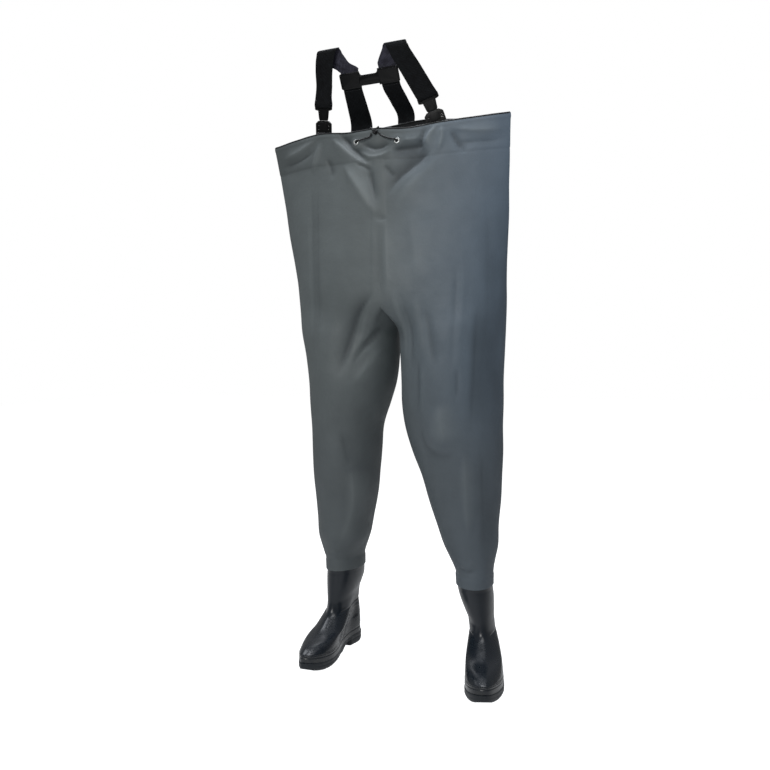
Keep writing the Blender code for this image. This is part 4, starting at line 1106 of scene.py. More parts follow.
LEG_COLUMNS = ("level", "centre_x", "centre_y", "half_width", "half_depth", "turn_deg")
LEGS = {
    Side.RIGHT: (
        (0.300, -0.1496, 0.0471, 0.0637, 0.0828, 1.1),
        (0.360, -0.1437, 0.0451, 0.0713, 0.0909, 0.7),
        (0.420, -0.1378, 0.0430, 0.0789, 0.0987, 0.4),
        (0.480, -0.1350, 0.0410, 0.0839, 0.1037, 0.1),
        (0.540, -0.1307, 0.0389, 0.0877, 0.1070, 0.0),
        (0.600, -0.1266, 0.0368, 0.0924, 0.1081, 0.0),
        (0.660, -0.1164, 0.0348, 0.1046, 0.1171, 0.0),
        (0.720, -0.1065, 0.0327, 0.1145, 0.1229, 0.0),
        (0.780, -0.1060, 0.0310, 0.1235, 0.1180, 0.0),
        (0.840, -0.1095, 0.0300, 0.1310, 0.1120, 0.0),
    ),
    Side.LEFT: (
        (0.300, 0.2178, 0.0232, 0.0639, 0.0767, 18.0),
        (0.360, 0.2080, 0.0240, 0.0762, 0.0831, 13.0),
        (0.420, 0.2007, 0.0248, 0.0888, 0.0870, 8.0),
        (0.480, 0.1934, 0.0256, 0.0992, 0.0922, 4.0),
        (0.540, 0.1832, 0.0264, 0.1127, 0.0992, 0.0),
        (0.600, 0.1747, 0.0273, 0.1215, 0.1081, 0.0),
        (0.660, 0.1715, 0.0281, 0.1275, 0.1148, 0.0),
        (0.720, 0.1711, 0.0289, 0.1282, 0.1186, 0.0),
        (0.780, 0.1715, 0.0295, 0.1310, 0.1160, 0.0),
        (0.840, 0.1710, 0.0300, 0.1350, 0.1120, 0.0),
    ),
}
BIB = columns(("level", "centre_x", "centre_y", "half_width", "front", "back", "lens"), (
    (0.900, 0.031, 0.030, 0.279, 0.112, 0.115, 0.10),
    (0.960, 0.028, 0.030, 0.285, 0.106, 0.106, 0.18),
    (1.020, 0.024, 0.030, 0.294, 0.096, 0.092, 0.30),
    (1.100, 0.018, 0.030, 0.305, 0.082, 0.073, 0.45),
    (1.180, 0.013, 0.030, 0.311, 0.070, 0.055, 0.65),
    (1.260, 0.008, 0.030, 0.320, 0.058, 0.036, 0.82),
    (1.338, 0.002, 0.029, 0.329, 0.046, 0.021, 0.96),
))
EDGE = columns(("share", "right", "left"), (
    (0.00, 0.004, 0.004), (0.12, 0.003, -0.004), (0.25, 0.011, 0.002), (0.38, 0.005, 0.006),
    (0.50, -0.001, 0.011), (0.70, 0.008, 0.014), (0.86, 0.014, 0.025), (1.00, 0.020, 0.020),
))


@dataclass
class ClothForm:
    """The garment's plain shape, before its folds."""

    hug_levels: tuple[float, ...] = (0.216, 0.2395, 0.2410, 0.2480)
    front_angle: float = math.radians(-45.0)
    outer_sweep: float = math.radians(270.0)
    squareness: float = 2.6
    collar: float = 1.338
    crotch: float = 0.900
    crotch_drop: float = 0.034
    fade_level: float = 1.180
    wall: float = 0.0012
    seam_step: float = 0.0008
    shaft_growth: float = 0.0006
    cad_hem: float = 0.065
    straight: tuple[float, ...] = (0.12, 0.5, 0.85)
    front_shares: Pair = (0.0, 0.45)
    back_shares: Pair = (0.55, 1.0)
    probes: int = 91
    probe_step: float = 0.004

    def hug(self, side: Side, level: float, angles: Array) -> Array:
        """Leg section that lies on the boot's shaft.

        Args:
            side: Which leg.
            level: Height of the section.
            angles: Places round it.

        Returns:
            Points in the tables' places.
        """
        boot = BOOTS[side]
        size = {name: float(np.interp(level, SLICES["rise_front"], values))
                for name, values in SLICES.items()}
        clear = GAP + self.wall + self.shaft_growth
        half_depth = (size["front"] - size["back"]) / 2.0 + clear
        points = np.column_stack((
            size["lean"] * boot.shaft_lean + (size["half_width"] + clear) * np.sin(angles),
            (size["front"] + size["back"]) / 2.0 + half_depth * np.cos(angles),
            np.full(len(angles), level),
        ))
        return boot.to_garment(points)

    @staticmethod
    def oval(side: Side, row: Sequence[float], angles: Array) -> Array:
        """Leg section from the table.

        Args:
            side: Which leg.
            row: The table's row.
            angles: Places round the section.

        Returns:
            Points in the tables' places.
        """
        size = dict(zip(LEG_COLUMNS, row))
        turn = math.radians(size["turn_deg"])
        outward = side.sign * size["half_width"] * np.sin(angles)
        forward = size["half_depth"] * np.cos(angles)
        return np.column_stack((
            size["centre_x"] + outward * math.cos(turn) + forward * math.sin(turn),
            size["centre_y"] + outward * math.sin(turn) - forward * math.cos(turn),
            np.full(len(angles), size["level"]),
        ))

    def leg_knots(self, side: Side) -> list[float]:
        """Heights of a leg's sections."""
        top, first = self.hug_levels[-1], LEGS[side][0][0]
        return [*self.hug_levels, *[top + (first - top) * share for share in self.straight],
                *[row[0] for row in LEGS[side]]]

    def leg_rows(self, side: Side, angles: Array) -> list[Array]:
        """A leg's sections: on the shaft, straight up from the weld, then the table's ovals.

        Args:
            side: Which leg.
            angles: Places round each section.

        Returns:
            Points of each section.
        """
        hugs = [self.hug(side, level, angles) for level in self.hug_levels]
        ovals = [self.oval(side, row, angles) for row in LEGS[side]]
        between = [hugs[-1] + (ovals[0] - hugs[-1]) * share for share in self.straight]
        return [*hugs, *between, *ovals]

    def bib_half(self, side: Side, row: int, shares: Array) -> Array:
        """Half a bib section from front centre round the side to back centre.

        Args:
            side: Which half.
            row: Row of the bib's table.
            shares: Places round the half.

        Returns:
            Points in the tables' places.
        """
        size = {name: values[row] for name, values in BIB.items()}
        depth = np.where(shares < 0.5, size["front"], size["back"])
        power = 2.0 / self.squareness
        cosine = np.cos(math.pi * shares)
        oval_x = size["half_width"] * np.clip(np.sin(math.pi * shares), 0.0, 1.0) ** power
        oval_y = -depth * np.sign(cosine) * np.abs(cosine) ** power
        across = 1.0 - np.abs(1.0 - 2.0 * shares)
        lens_x = size["half_width"] * across
        lens_y = np.where(shares < 0.5, -1.0, 1.0) * depth * (1.0 - across ** 2)
        x = size["centre_x"] + side.sign * (oval_x + (lens_x - oval_x) * size["lens"])
        y = size["centre_y"] + oval_y + (lens_y - oval_y) * size["lens"]
        return np.column_stack((x, y, np.full(len(shares), size["level"])))

    def edge_rise(self, side: Side, levels: Array, shares: Array) -> Array:
        """How far the collar's uneven edge lifts the cloth.

        Args:
            side: Which half.
            levels: Heights.
            shares: Places round the half.

        Returns:
            Rise for each level and share.
        """
        rise = through(EDGE["share"], EDGE[side.value], shares)
        fade = np.clip((levels - self.fade_level) / (self.collar - self.fade_level), 0.0, 1.0)
        return fade[:, None] * rise[None, :]

    def outer(self, side: Side, levels: Array, shares: Array) -> Array:
        """Cloth from hem to collar, front centre round the outer side to back centre.

        Args:
            side: Which half.
            levels: Heights.
            shares: Places round the half.

        Returns:
            Grid of points.
        """
        angles = self.front_angle + self.outer_sweep * shares
        rows = self.leg_rows(side, angles)
        rows += [self.bib_half(side, row, shares) for row in range(len(BIB["level"]))]
        knots = [*self.leg_knots(side), *BIB["level"]]
        grid = through(np.array(knots), np.array(rows), levels)
        grid[:, :, 2] += self.edge_rise(side, levels, shares)
        return grid

    def inner(self, side: Side, levels: Array, shares: Array) -> Array:
        """Inside of a leg from hem to crotch, from the back column round to the front column.

        Args:
            side: Which leg.
            levels: Heights.
            shares: Places from back to front.

        Returns:
            Grid of points.
        """
        angles = self.front_angle + self.outer_sweep + (math.tau - self.outer_sweep) * shares
        rows = self.leg_rows(side, angles)
        back = self.bib_half(side, 0, np.array([1.0]))[0]
        front = self.bib_half(side, 0, np.array([0.0]))[0]
        crotch = back + (front - back) * shares[:, None]
        crotch[:, 2] -= self.crotch_drop * (1.0 - (2.0 * shares - 1.0) ** 2)
        knots = [*self.leg_knots(side), self.crotch]
        return through(np.array(knots), np.array([*rows, crotch]), levels)

    def panel_point(self, x: float, level: float, panel: Panel = Panel.FRONT) -> tuple[Vector, Vector]:
        """Place on the bib's outside at a given x and level.

        Args:
            x: Place across the bib.
            level: Height before the edge's rise.
            panel: Front or back.

        Returns:
            The place and its outward direction.
        """
        side = Side.LEFT if x >= float(np.interp(level, BIB["level"], BIB["centre_x"])) else Side.RIGHT
        shares = np.linspace(*(self.back_shares if panel is Panel.BACK else self.front_shares), self.probes)
        grid = self.outer(side, level + self.probe_step * np.array([-1.0, 0.0, 1.0]), shares)
        order = np.argsort(grid[1, :, 0])
        across = grid[1, order, 0]
        normals = grid_normals(grid, -side.sign)
        at = np.array([x])
        place, out = [Vector(read_along(at, across, rows[1, order])[0]) for rows in (grid, normals)]
        out.normalize()
        if level > self.collar - self.cad_hem:
            place = place + out * self.seam_step
        return place, out


# A panel's own folds fade over this range of the normals' y, where the cloth turns to the side
PANEL_TURN = (-0.15, 0.30)


@dataclass(frozen=True)
class Crease:
    """A soft ridge (height over 0) or trough along a line of x and z on one panel."""

    panel: Panel
    height: float
    width: float
    lean: float
    line: Array
    stations: ClassVar[int] = 28
    reach: ClassVar[float] = 4.0        # widths, past which a crease is not felt
    stretch: ClassVar[float] = 2.5      # how much longer a full lean makes one flank
    opening: ClassVar[Pair] = (0.75, 0.50)  # share of the width at the start, and what it gains
    blunt: ClassVar[float] = 0.18       # share of the width over which the crest is round
    start: ClassVar[Pair] = (-0.03, 0.30)
    end: ClassVar[Pair] = (1.03, 0.62)

    def offset(self, places: Array, facing: Array) -> Array:
        """How far the crease moves each point along its normal.

        Args:
            places: Points of the cloth.
            facing: The normals' y.

        Returns:
            One offset for each point.
        """
        route = smooth_route(self.line, self.stations)
        flat = places[:, (0, 2)]
        reach = self.reach * self.width * (1.0 + self.stretch * abs(self.lean))
        near = np.all((flat > route.min(axis=0) - reach) & (flat < route.max(axis=0) + reach), axis=1)
        moved = np.zeros(len(places))
        if not near.any():
            return moved
        start, step = route[:-1], np.diff(route, axis=0)
        away = flat[near][:, None, :] - start[None]
        share = np.clip(np.sum(away * step, axis=2) / np.sum(step * step, axis=1), 0.0, 1.0)
        gaps = np.linalg.norm(away - share[:, :, None] * step, axis=2)
        nearest = np.argmin(gaps, axis=1)
        rows = np.arange(len(nearest))
        along = (nearest + share[rows, nearest]) / len(step)
        gap, way = away[rows, nearest], step[nearest]
        left = way[:, 0] * gap[:, 1] - way[:, 1] * gap[:, 0] > 0.0
        longer = np.where(left, max(self.lean, 0.0), max(-self.lean, 0.0))
        flank = self.width * (1.0 + self.stretch * longer) * (self.opening[0] + self.opening[1] * along)
        blunt = self.blunt * self.width
        profile = np.exp(-(np.hypot(gaps[rows, nearest], blunt) - blunt) / flank)
        fade = ramp(along, *self.start) * ramp(along, *self.end)
        moved[near] = self.height * profile * fade * ramp(facing[near] * self.panel.value, *PANEL_TURN)
        return moved


@dataclass(frozen=True)
class FlatSpot:
    """A place where something lies on the cloth, so that no crease runs through it."""

    panel: Panel
    centre: Pair
    reach: Pair

    def keep(self, places: Array, facing: Array) -> Array:
        """Share of a crease that is left at each point: 0 in the spot, 1 away from it.

        Args:
            places: Points of the cloth.
            facing: The normals' y.

        Returns:
            One share for each point.
        """
        across = (places[:, 0] - self.centre[0]) / self.reach[0]
        up = (places[:, 2] - self.centre[1]) / self.reach[1]
        inside = np.exp(-((across ** 2 + up ** 2) ** 2))
        return 1.0 - inside * ramp(facing * self.panel.value, *PANEL_TURN)


# In millimetres: height (a trough is below 0) and width of the crest, its lean, and a line of x and z.
# A crease with a lean has one long flank: to the left of its line when above 0, to the right when below.
FRONT_CREASES = (
    # Pulls from the right tab fan out under it
    (7.1, 6.5, -0.6, ((-132, 1337), (-88, 1298), (-52, 1271), (-25, 1258))),
    (-8.9, 5.4, 0.3, ((-108, 1342), (-64, 1300), (-31, 1269), (-12, 1255))),
    (-4.2, 5.0, 0.3, ((-146, 1285), (-133, 1262), (-122, 1225))),
    (4.6, 6.0, -0.5, ((-172, 1340), (-233, 1313), (-300, 1301))),
    (-4.6, 5.2, 0.4, ((-180, 1309), (-241, 1288), (-305, 1281))),
    (4.2, 5.8, 0.4, ((-160, 1330), (-178, 1290), (-186, 1245))),
    # Pinched cloth and the long diagonal from it to the middle seam
    (4.6, 3.6, 0.0, ((-54, 1268), (-34, 1259), (-12, 1245))),
    (-5.1, 3.6, 0.0, ((-50, 1258), (-30, 1250), (-10, 1237))),
    (7.9, 7.9, 0.9, ((-92, 1265), (-51, 1205), (-21, 1165), (16, 1120))),
    (-8.6, 8.6, 0.2, ((-24, 1258), (-6, 1201), (15, 1135))),
    # Pucker on the middle seam, the groove beside it and the full strip next to that
    (-3.6, 5.0, 0.0, ((4, 1122), (22, 1117), (43, 1111))),
    (2.2, 5.0, 0.0, ((8, 1109), (38, 1102))),
    (-2.2, 5.0, -0.4, ((17, 1120), (25, 1013), (29, 905))),
    (3.6, 11.0, 0.6, ((36, 1110), (47, 1000), (57, 905))),
    # Fold under the drawcord
    (4.2, 4.0, -0.3, ((-56, 1300), (-32, 1281), (-12, 1272), (24, 1275), (56, 1292))),
    (-6.6, 5.8, 0.3, ((-45, 1311), (1, 1292), (47, 1304))),
    # Hollow beside the left eyelet, and pulls from the left tab
    (-8.8, 10.0, -0.5, ((40, 1284), (80, 1284), (112, 1285), (140, 1290))),
    (5.1, 5.8, 0.4, ((66, 1306), (95, 1303), (125, 1306))),
    (-7.1, 4.3, 0.0, ((130, 1332), (118, 1297), (114, 1268))),
    (6.9, 5.4, 0.5, ((160, 1336), (137, 1303), (128, 1274))),
    (-6.0, 5.2, 0.4, ((190, 1322), (207, 1288), (230, 1256))),
    (5.7, 5.8, 0.0, ((169, 1338), (171, 1300), (160, 1262))),
    (3.8, 7.0, 0.6, ((190, 1322), (262, 1311), (325, 1312))),
    (-3.0, 6.0, -0.6, ((205, 1287), (273, 1285), (325, 1288))),
    (-8.6, 9.4, -0.6, ((150, 1276), (99, 1238), (59, 1207), (30, 1160))),
    (-4.2, 4.3, 0.0, ((24, 1248), (55, 1214))),
    (3.4, 16.0, 0.5, ((178, 1262), (125, 1215), (90, 1180), (55, 1120))),
    # Old fold lines down both halves of the bib
    (-1.4, 4.0, 0.9, ((-197, 1275), (-184, 1104), (-165, 873), (-162, 760))),
    (-1.6, 4.0, -0.9, ((-174, 1272), (-161, 1076), (-148, 872), (-147, 740))),
    (1.4, 6.0, -0.9, ((-212, 1262), (-196, 1079), (-179, 873), (-172, 740))),
    (-2.4, 4.5, 0.9, ((219, 1010), (217, 909), (217, 815), (208, 700))),
    (2.4, 11.0, -0.5, ((236, 1000), (234, 870), (227, 720))),
    (-1.8, 11.0, 0.8, ((276, 1230), (287, 1002), (285, 837), (262, 620))),
    (2.6, 14.0, 0.9, ((100, 1130), (118, 1020), (126, 930))),
    # Fan from the crotch over the right thigh
    (-8.0, 8.5, -0.5, ((18, 945), (-38, 874), (-58, 813), (-72, 771), (-100, 715))),
    (5.0, 9.0, 0.3, ((16, 920), (-24, 857), (-42, 795), (-66, 735))),
    (-6.0, 7.0, -0.3, ((16, 865), (-15, 819), (-34, 790), (-58, 745))),
    (4.0, 7.0, 0.0, ((18, 872), (-15, 839), (-40, 802))),
    (5.0, 8.0, 0.4, ((6, 805), (-24, 752), (-60, 700))),
    # Fan from the crotch over the left thigh
    (4.2, 9.0, 0.4, ((60, 945), (78, 885), (85, 830), (87, 745))),
    (-6.0, 8.0, 0.4, ((74, 940), (98, 880), (106, 832), (108, 730))),
    (-4.2, 7.5, 0.6, ((140, 915), (161, 821), (176, 740))),
    (3.0, 11.0, -0.4, ((122, 920), (138, 830), (151, 750))),
    (-3.0, 5.0, 0.0, ((227, 755), (223, 665))),
    (-4.0, 6.0, 0.5, ((127, 775), (127, 710), (122, 630))),
    (3.2, 6.0, 0.0, ((140, 765), (138, 698), (133, 625))),
    (-4.2, 9.0, 0.8, ((268, 910), (264, 791), (257, 673), (244, 550))),
    # Knees and shins
    (-3.4, 8.0, -0.4, ((128, 625), (137, 565), (161, 543), (195, 540), (230, 552))),
    (5.0, 26.0, 0.0, ((178, 670), (192, 555))),
    (-3.6, 10.0, 0.6, ((-96, 600), (-86, 530), (-80, 470))),
    (4.4, 11.0, 0.7, ((-80, 520), (-87, 400), (-114, 318), (-155, 255))),
    (3.8, 10.0, 0.7, ((235, 570), (234, 435), (241, 295))),
    (-3.4, 9.0, 0.5, ((270, 580), (269, 408), (272, 275))),
    (-3.4, 5.5, 0.0, ((202, 268), (234, 259), (258, 270))),
    (2.8, 6.0, 0.0, ((205, 279), (234, 271), (257, 281))),
    (-1.8, 6.0, 0.0, ((-190, 268), (-150, 262), (-115, 269))),
)
BACK_CREASES = (
    # Drag lines from the back of the crotch, folds behind the knees and old fold lines
    (-7.0, 9.0, 0.5, ((28, 945), (-40, 880), (-100, 825), (-175, 780))),
    (4.8, 10.0, 0.0, ((22, 915), (-40, 850), (-105, 785))),
    (-7.0, 9.0, -0.5, ((36, 945), (100, 880), (165, 825), (245, 785))),
    (4.8, 10.0, 0.0, ((42, 915), (105, 850), (172, 785))),
    (-5.2, 7.5, 0.5, ((-215, 605), (-130, 585), (-50, 605))),
    (3.8, 9.0, 0.0, ((-208, 575), (-130, 560), (-58, 575))),
    (-5.2, 7.5, 0.5, ((75, 605), (175, 582), (275, 605))),
    (3.8, 9.0, 0.0, ((82, 574), (175, 557), (268, 575))),
    (-2.8, 6.5, 0.9, ((-174, 1250), (-160, 1076), (-148, 880))),
    (-2.8, 6.5, -0.9, ((208, 1250), (200, 1076), (196, 880))),
    (-4.0, 11.0, 0.5, ((-270, 1245), (-140, 1150), (-30, 1090))),
    (3.6, 12.0, 0.5, ((275, 1240), (160, 1150), (60, 1080))),
    (-4.4, 9.0, 0.4, ((-130, 1330), (-185, 1290), (-255, 1270))),
    (-4.4, 9.0, -0.4, ((95, 1330), (155, 1290), (235, 1270))),
    (3.4, 11.0, 0.6, ((-205, 545), (-190, 430), (-170, 300))),
    (3.4, 11.0, -0.6, ((150, 545), (165, 430), (190, 300))),
)


@dataclass
class BibAndLegs:
    """The coated cloth: one welded shell with hem, seams and listed folds."""

    form: ClothForm
    eyelets: Sequence[Pair]
    tab_x: Sequence[float]
    strap_x: Sequence[float]
    hug_rows: int = 12
    leg_rows: int = 104
    bib_rows: int = 44
    hem_rows: int = 60
    fine_from: float = 1.190
    front_columns: int = 72
    back_columns: int = 26
    inner_columns: int = 22
    hem_depth: float = 0.076
    seam_half: float = 0.0125
    seam_slope: float = 0.004
    lap_slope: float = 0.002        # half of the height over which a lap's edge rises
    band_edge: Pair = (0.2412, 0.2395)
    weld: Pair = (0.0004, 0.0032)   # depth and half width of the hem's weld line
    fold_edge: Triple = (0.0009, 0.0075, 0.0038)    # rise, distance under the edge and half width
    sways: tuple[tuple[float, Triple, float], ...] = (     # height, waves a metre and shift
        (0.0022, (9.0, 9.0, 5.0), 0.0), (0.00077, (30.0, 30.0, 13.0), 7.0),
    )
    eyelet_spot: Pair = (0.015, 0.015)
    tab_level: float = 1.318
    tab_spot: Pair = (0.030, 0.042)
    strap_level: float = 1.320
    strap_spot: Pair = (0.042, 0.070)
    ankle: Pair = (0.246, 0.262)    # no folds below, all of them above
    eyelet_hole: float = 0.0047
    hole_depth: float = 0.020
    hole_sides: int = 24
    binding_points: int = 140
    binding_pitch: float = 0.0040
    binding_thick: float = 0.0042
    edge_step: float = 0.003        # height over which the edge's normals are taken

    def grids(self, build: BMesh) -> None:
        """Adds the plain outer and inner surfaces, with each point's share and level.

        Args:
            build: Mesh under construction.
        """
        share_layer = build.verts.layers.float.new("share")
        level_layer = build.verts.layers.float.new("level")
        hug = self.form.hug_levels
        legs = np.concatenate((np.linspace(hug[0], hug[-1], self.hug_rows)[:-1],
                               np.linspace(hug[-1], self.form.crotch, self.leg_rows)))
        bib = np.concatenate((np.linspace(self.form.crotch, self.fine_from, self.bib_rows)[1:],
                              np.linspace(self.fine_from, self.form.collar, self.hem_rows)[1:]))
        levels = np.concatenate((legs, bib))
        seam = np.array((self.seam_half, self.seam_half + self.seam_slope))
        shares = np.concatenate((np.linspace(0.0, 0.5, self.front_columns),
                                 np.linspace(0.5, 1.0, self.back_columns)[1:], seam, 1.0 - seam))
        shares = np.unique(shares.round(6))
        inner_shares = np.linspace(0.0, 1.0, self.inner_columns)
        for side in Side:
            outer = self.form.outer(side, levels, shares)
            inner = self.form.inner(side, legs, inner_shares)
            inner[:, 0] = outer[:len(legs), -1]
            inner[:, -1] = outer[:len(legs), 0]
            for grid, places, heights in ((outer, shares, levels), (inner, None, legs)):
                rows = []
                for line, level in zip(grid, heights):
                    row = [build.verts.new(point) for point in line]
                    for i, vert in enumerate(row):
                        vert[share_layer] = 0.5 if places is None else places[i]
                        vert[level_layer] = level
                    rows.append(row)
                for low, high in zip(rows, rows[1:]):
                    for i in range(len(low) - 1):
                        build.faces.new((low[i], low[i + 1], high[i + 1], high[i]))

    def laps(self, shares: Array, levels: Array) -> Array:
        """How far welded laps stand proud: ankle band, collar hem, its folded edge and middle seams.

        Args:
            shares: Place round the half of each point.
            levels: Level of each point.

        Returns:
            Offset for each point.
        """
        from_seam = np.minimum(shares, 1.0 - shares)
        seam = ramp(from_seam, self.seam_half + self.seam_slope, self.seam_half)
        seam = seam * ramp(levels, self.form.crotch - self.lap_slope, self.form.crotch + self.lap_slope)
        band = ramp(levels, *self.band_edge)
        under_edge = self.form.collar - levels
        hem = ramp(under_edge, self.hem_depth + self.lap_slope, self.hem_depth - self.lap_slope)
        sunk, sunk_half = self.weld
        rise, below, half = self.fold_edge
        step = self.form.seam_step * np.maximum(np.maximum(seam, band), hem)
        weld = sunk * bump(under_edge, self.hem_depth, sunk_half)
        return step - weld + rise * bump(under_edge, below, half)

    def folds(self, places: Array, normals: Array, levels: Array) -> Array:
        """All creases and the cloth's slight sway, held flat where something lies on it.

        Args:
            places: Points of the cloth.
            normals: Their normals.
            levels: Their levels.

        Returns:
            Offset for each point.
        """
        facing = normals[:, 1]
        moved = np.zeros(len(places))
        for panel, rows in ((Panel.FRONT, FRONT_CREASES), (Panel.BACK, BACK_CREASES)):
            for height, width, lean, line in rows:
                crease = Crease(panel, height / MM_IN_M, width / MM_IN_M, lean, np.array(line) / MM_IN_M)
                moved += crease.offset(places, facing)
        for height, waves, shift in self.sways:
            waved = places * waves + np.array((0.0, shift, 0.0))
            moved += height * np.array([noise.noise(Vector(point)) for point in waved])
        spots = [FlatSpot(Panel.FRONT, place, self.eyelet_spot) for place in self.eyelets]
        spots += [FlatSpot(Panel.BACK, (x, self.strap_level), self.strap_spot) for x in self.strap_x]
        for spot in spots:
            moved *= spot.keep(places, facing)
        # A tab lies behind the cloth, so ridges run on over it and only troughs are held up.
        for x in self.tab_x:
            keep = FlatSpot(Panel.FRONT, (x, self.tab_level), self.tab_spot).keep(places, facing)
            moved = np.where(moved < 0.0, moved * keep, moved)
        return moved * ramp(levels, *self.ankle)

    def build(self) -> Mesh:
        """Models the cloth with its folds, wall and eyelet holes.

        Returns:
            Its mesh, in the frame.
        """
        build = bmesh.new()
        self.grids(build)
        bmesh.ops.remove_doubles(build, verts=build.verts[:], dist=MERGE)
        bmesh.ops.recalc_face_normals(build, faces=build.faces[:])
        build.normal_update()
        share_layer = build.verts.layers.float["share"]
        level_layer = build.verts.layers.float["level"]
        places = np.array([vert.co[:] for vert in build.verts])
        normals = np.array([vert.normal[:] for vert in build.verts])
        shares = np.array([vert[share_layer] for vert in build.verts])
        levels = np.array([vert[level_layer] for vert in build.verts])
        folds = self.folds(places, normals, levels)
        moved = in_frame(places + normals * (folds + self.laps(shares, levels))[:, None])
        fold_layer = build.verts.layers.float.new("fold")
        for vert, place, fold in zip(build.verts, moved, folds):
            vert.co = place
            vert[fold_layer] = fold
        mesh = hand_over("coated_bib_and_legs", build, outward=False)
        for coat in (CLOTH, LINING):
            mesh.materials.append(coat.material())
        return without(walled(mesh, self.form.wall, inner=1), self.holes())

    def holes(self) -> Mesh:
        """Cutters for the two eyelets.

        Returns:
            Their mesh, in the frame.
        """
        build = bmesh.new()
        for eyelet in self.eyelets:
            home = cloth_home(*self.form.panel_point(*eyelet))
            bmesh.ops.create_cone(build, cap_ends=True, segments=self.hole_sides, radius1=self.eyelet_hole,
                                  radius2=self.eyelet_hole, depth=self.hole_depth, matrix=home)
        return closed_mesh("eyelet_holes", build)

    def edge_path(self) -> Array:
        """The collar's edge, all the way round.

        Returns:
            Closed line of points in the frame.
        """
        shares = np.linspace(0.0, 1.0, self.binding_points)
        levels = np.array([self.form.collar - self.edge_step, self.form.collar])
        halves = {}
        for side in Side:
            grid = self.form.outer(side, levels, shares)
            normals = grid_normals(grid, -side.sign)[1]
            normals[(0, -1), 0] = 0.0
            lift = self.folds(grid[1], normals, np.full(len(shares), self.form.collar))
            halves[side] = grid[1] + normals * (lift - self.form.wall / 2.0 + self.form.seam_step)[:, None]
        return in_frame(np.concatenate((halves[Side.RIGHT], halves[Side.LEFT][::-1][1:])))

    def dress(self, bench: Bench, work: PathWork) -> None:
        """Builds the cloth and the binding on its edge.

        Args:
            bench: Where pieces are placed.
            work: Makes the binding.
        """
        bench.place("coated_bib_and_legs", self.build(), CLOTH, ["bib_and_legs"], sharp=65.0, inside=LINING)
        binding = work.run("collar_binding", PathTree.BEAD, [self.edge_path()], BINDING, self.binding_pitch,
                           0.0, self.binding_thick)
        bench.place("collar_binding", binding, BINDING, sharp=60.0)


# Braces and drawcord


def mirrored(half: Sequence[Pair]) -> list[Pair]:
    """Closed outline from its right half, listed from the top centre down."""
    return list(half) + [(-x, y) for x, y in reversed(half) if x > 1.0e-6]


# A quarter of the webbing's section: shares of its half width and half thickness
WEB_QUARTER = ((0.0, 1.0), (0.35, 1.0), (0.70, 1.0), (0.93, 1.0), (0.985, 0.70), (1.0, 0.0))
WEB_HALF = (*WEB_QUARTER, *[(side, -lift) for side, lift in reversed(WEB_QUARTER[:-1])])


@dataclass
class Ribbon:
    """Flat webbing along a route, with a direction across it at each point."""

    points: Array
    across: Array
    widths: Pair
    stations: int = 150
    slant: float = 0.88             # least squareness of a rung to the strap that is made up for
    slack: float = 0.10             # how much thicker the body lies than the tight selvedges
    stitch_step: float = 0.0015
    stitch_lift: float = 0.56       # share of the thickness at which stitches lie

    def frames(self) -> tuple[Array, Array, Array, Array]:
        """Finer stations along the webbing.

        Returns:
            Middles, half widths across, normals and distances along.
        """
        along = distances(self.points)
        at = np.linspace(0.0, along[-1], self.stations)
        middle = through(along, self.points, at)
        across = unit(read_along(at, along, self.across))
        normal = np.cross(across, unit(np.gradient(middle, axis=0)))
        square = np.linalg.norm(normal, axis=1)[:, None]
        width = self.widths[0] + (self.widths[1] - self.widths[0]) * (at / at[-1])
        # A strap that runs at a slant to its rungs needs longer ones to keep its width.
        half = across * width[:, None] / 2.0 / np.clip(square, self.slant, 1.0)
        return middle, half, normal / square, at

    def mesh(self, name: str) -> Mesh:
        """Models the webbing with rounded selvedges and a UV map in metres.

        The face on the normal's back side gets the second material slot.

        Args:
            name: The mesh's name.

        Returns:
            The mesh, in the frame.
        """
        middle, half, normal, at = self.frames()
        side, lift = np.array(mirrored(WEB_HALF)).T
        swell = 1.0 + self.slack * np.cos(side * math.pi / 2.0)
        rings = (middle[:, None] + half[:, None] * side[None, :, None]
                 + normal[:, None] * (lift * swell)[None, :, None] * WEB_THICK / 2.0)
        build = bmesh.new()
        loft(build, in_frame(rings), capped=True)
        build.verts.index_update()
        layer = build.loops.layers.uv.new("webbing")
        reach = np.linalg.norm(half, axis=1)
        count = len(side)
        for face in build.faces:
            for corner in face.loops:
                row, column = divmod(corner.vert.index, count)
                corner[layer].uv = (side[column] * reach[row], at[row])
            face.material_index = int(sum(lift[vert.index % count] for vert in face.verts) < -0.5)
        return hand_over(name, build)

    def on_face(self, line: Sequence[Pair], face: float) -> Array:
        """Line of stitching on one face of the webbing.

        Args:
            line: Places as share across (-1 to 1) and distance from the start.
            face: 1 or -1 for the two faces.

        Returns:
            Points in the frame.
        """
        *rows, at = self.frames()
        fine = close_points(line, self.stitch_step)
        middle, half, normal = [read_along(fine[:, 1], at, values) for values in rows]
        return in_frame(middle + half * fine[:, :1] + normal * (face * WEB_THICK * self.stitch_lift))


def close_points(line: Sequence[Pair], step: float) -> Array:
    """Straight lines through places, with points close together on them.

    Args:
        line: Corner places.
        step: Greatest distance between points along the strap.

    Returns:
        The points.
    """
    across_step = 1.0 / 12.0
    points = [np.asarray(line[0], float)]
    for start, end in zip(line, line[1:]):
        start, end = np.asarray(start, float), np.asarray(end, float)
        across, along = np.abs(end - start)
        count = max(2, int(along / step) + 1, int(across / across_step) + 1)
        points += [start + (end - start) * share for share in np.linspace(0.0, 1.0, count)[1:]]
    return np.array(points)


def box_stitch(low: float, high: float, side: float = 0.78) -> list[list[Pair]]:
    """Lines of a sewn box with a cross in it, between two distances along a strap."""
    box = [(-side, low), (side, low), (side, high), (-side, high), (-side, low)]
    return [box, [(-side, low), (side, high)], [(side, low), (-side, high)]]


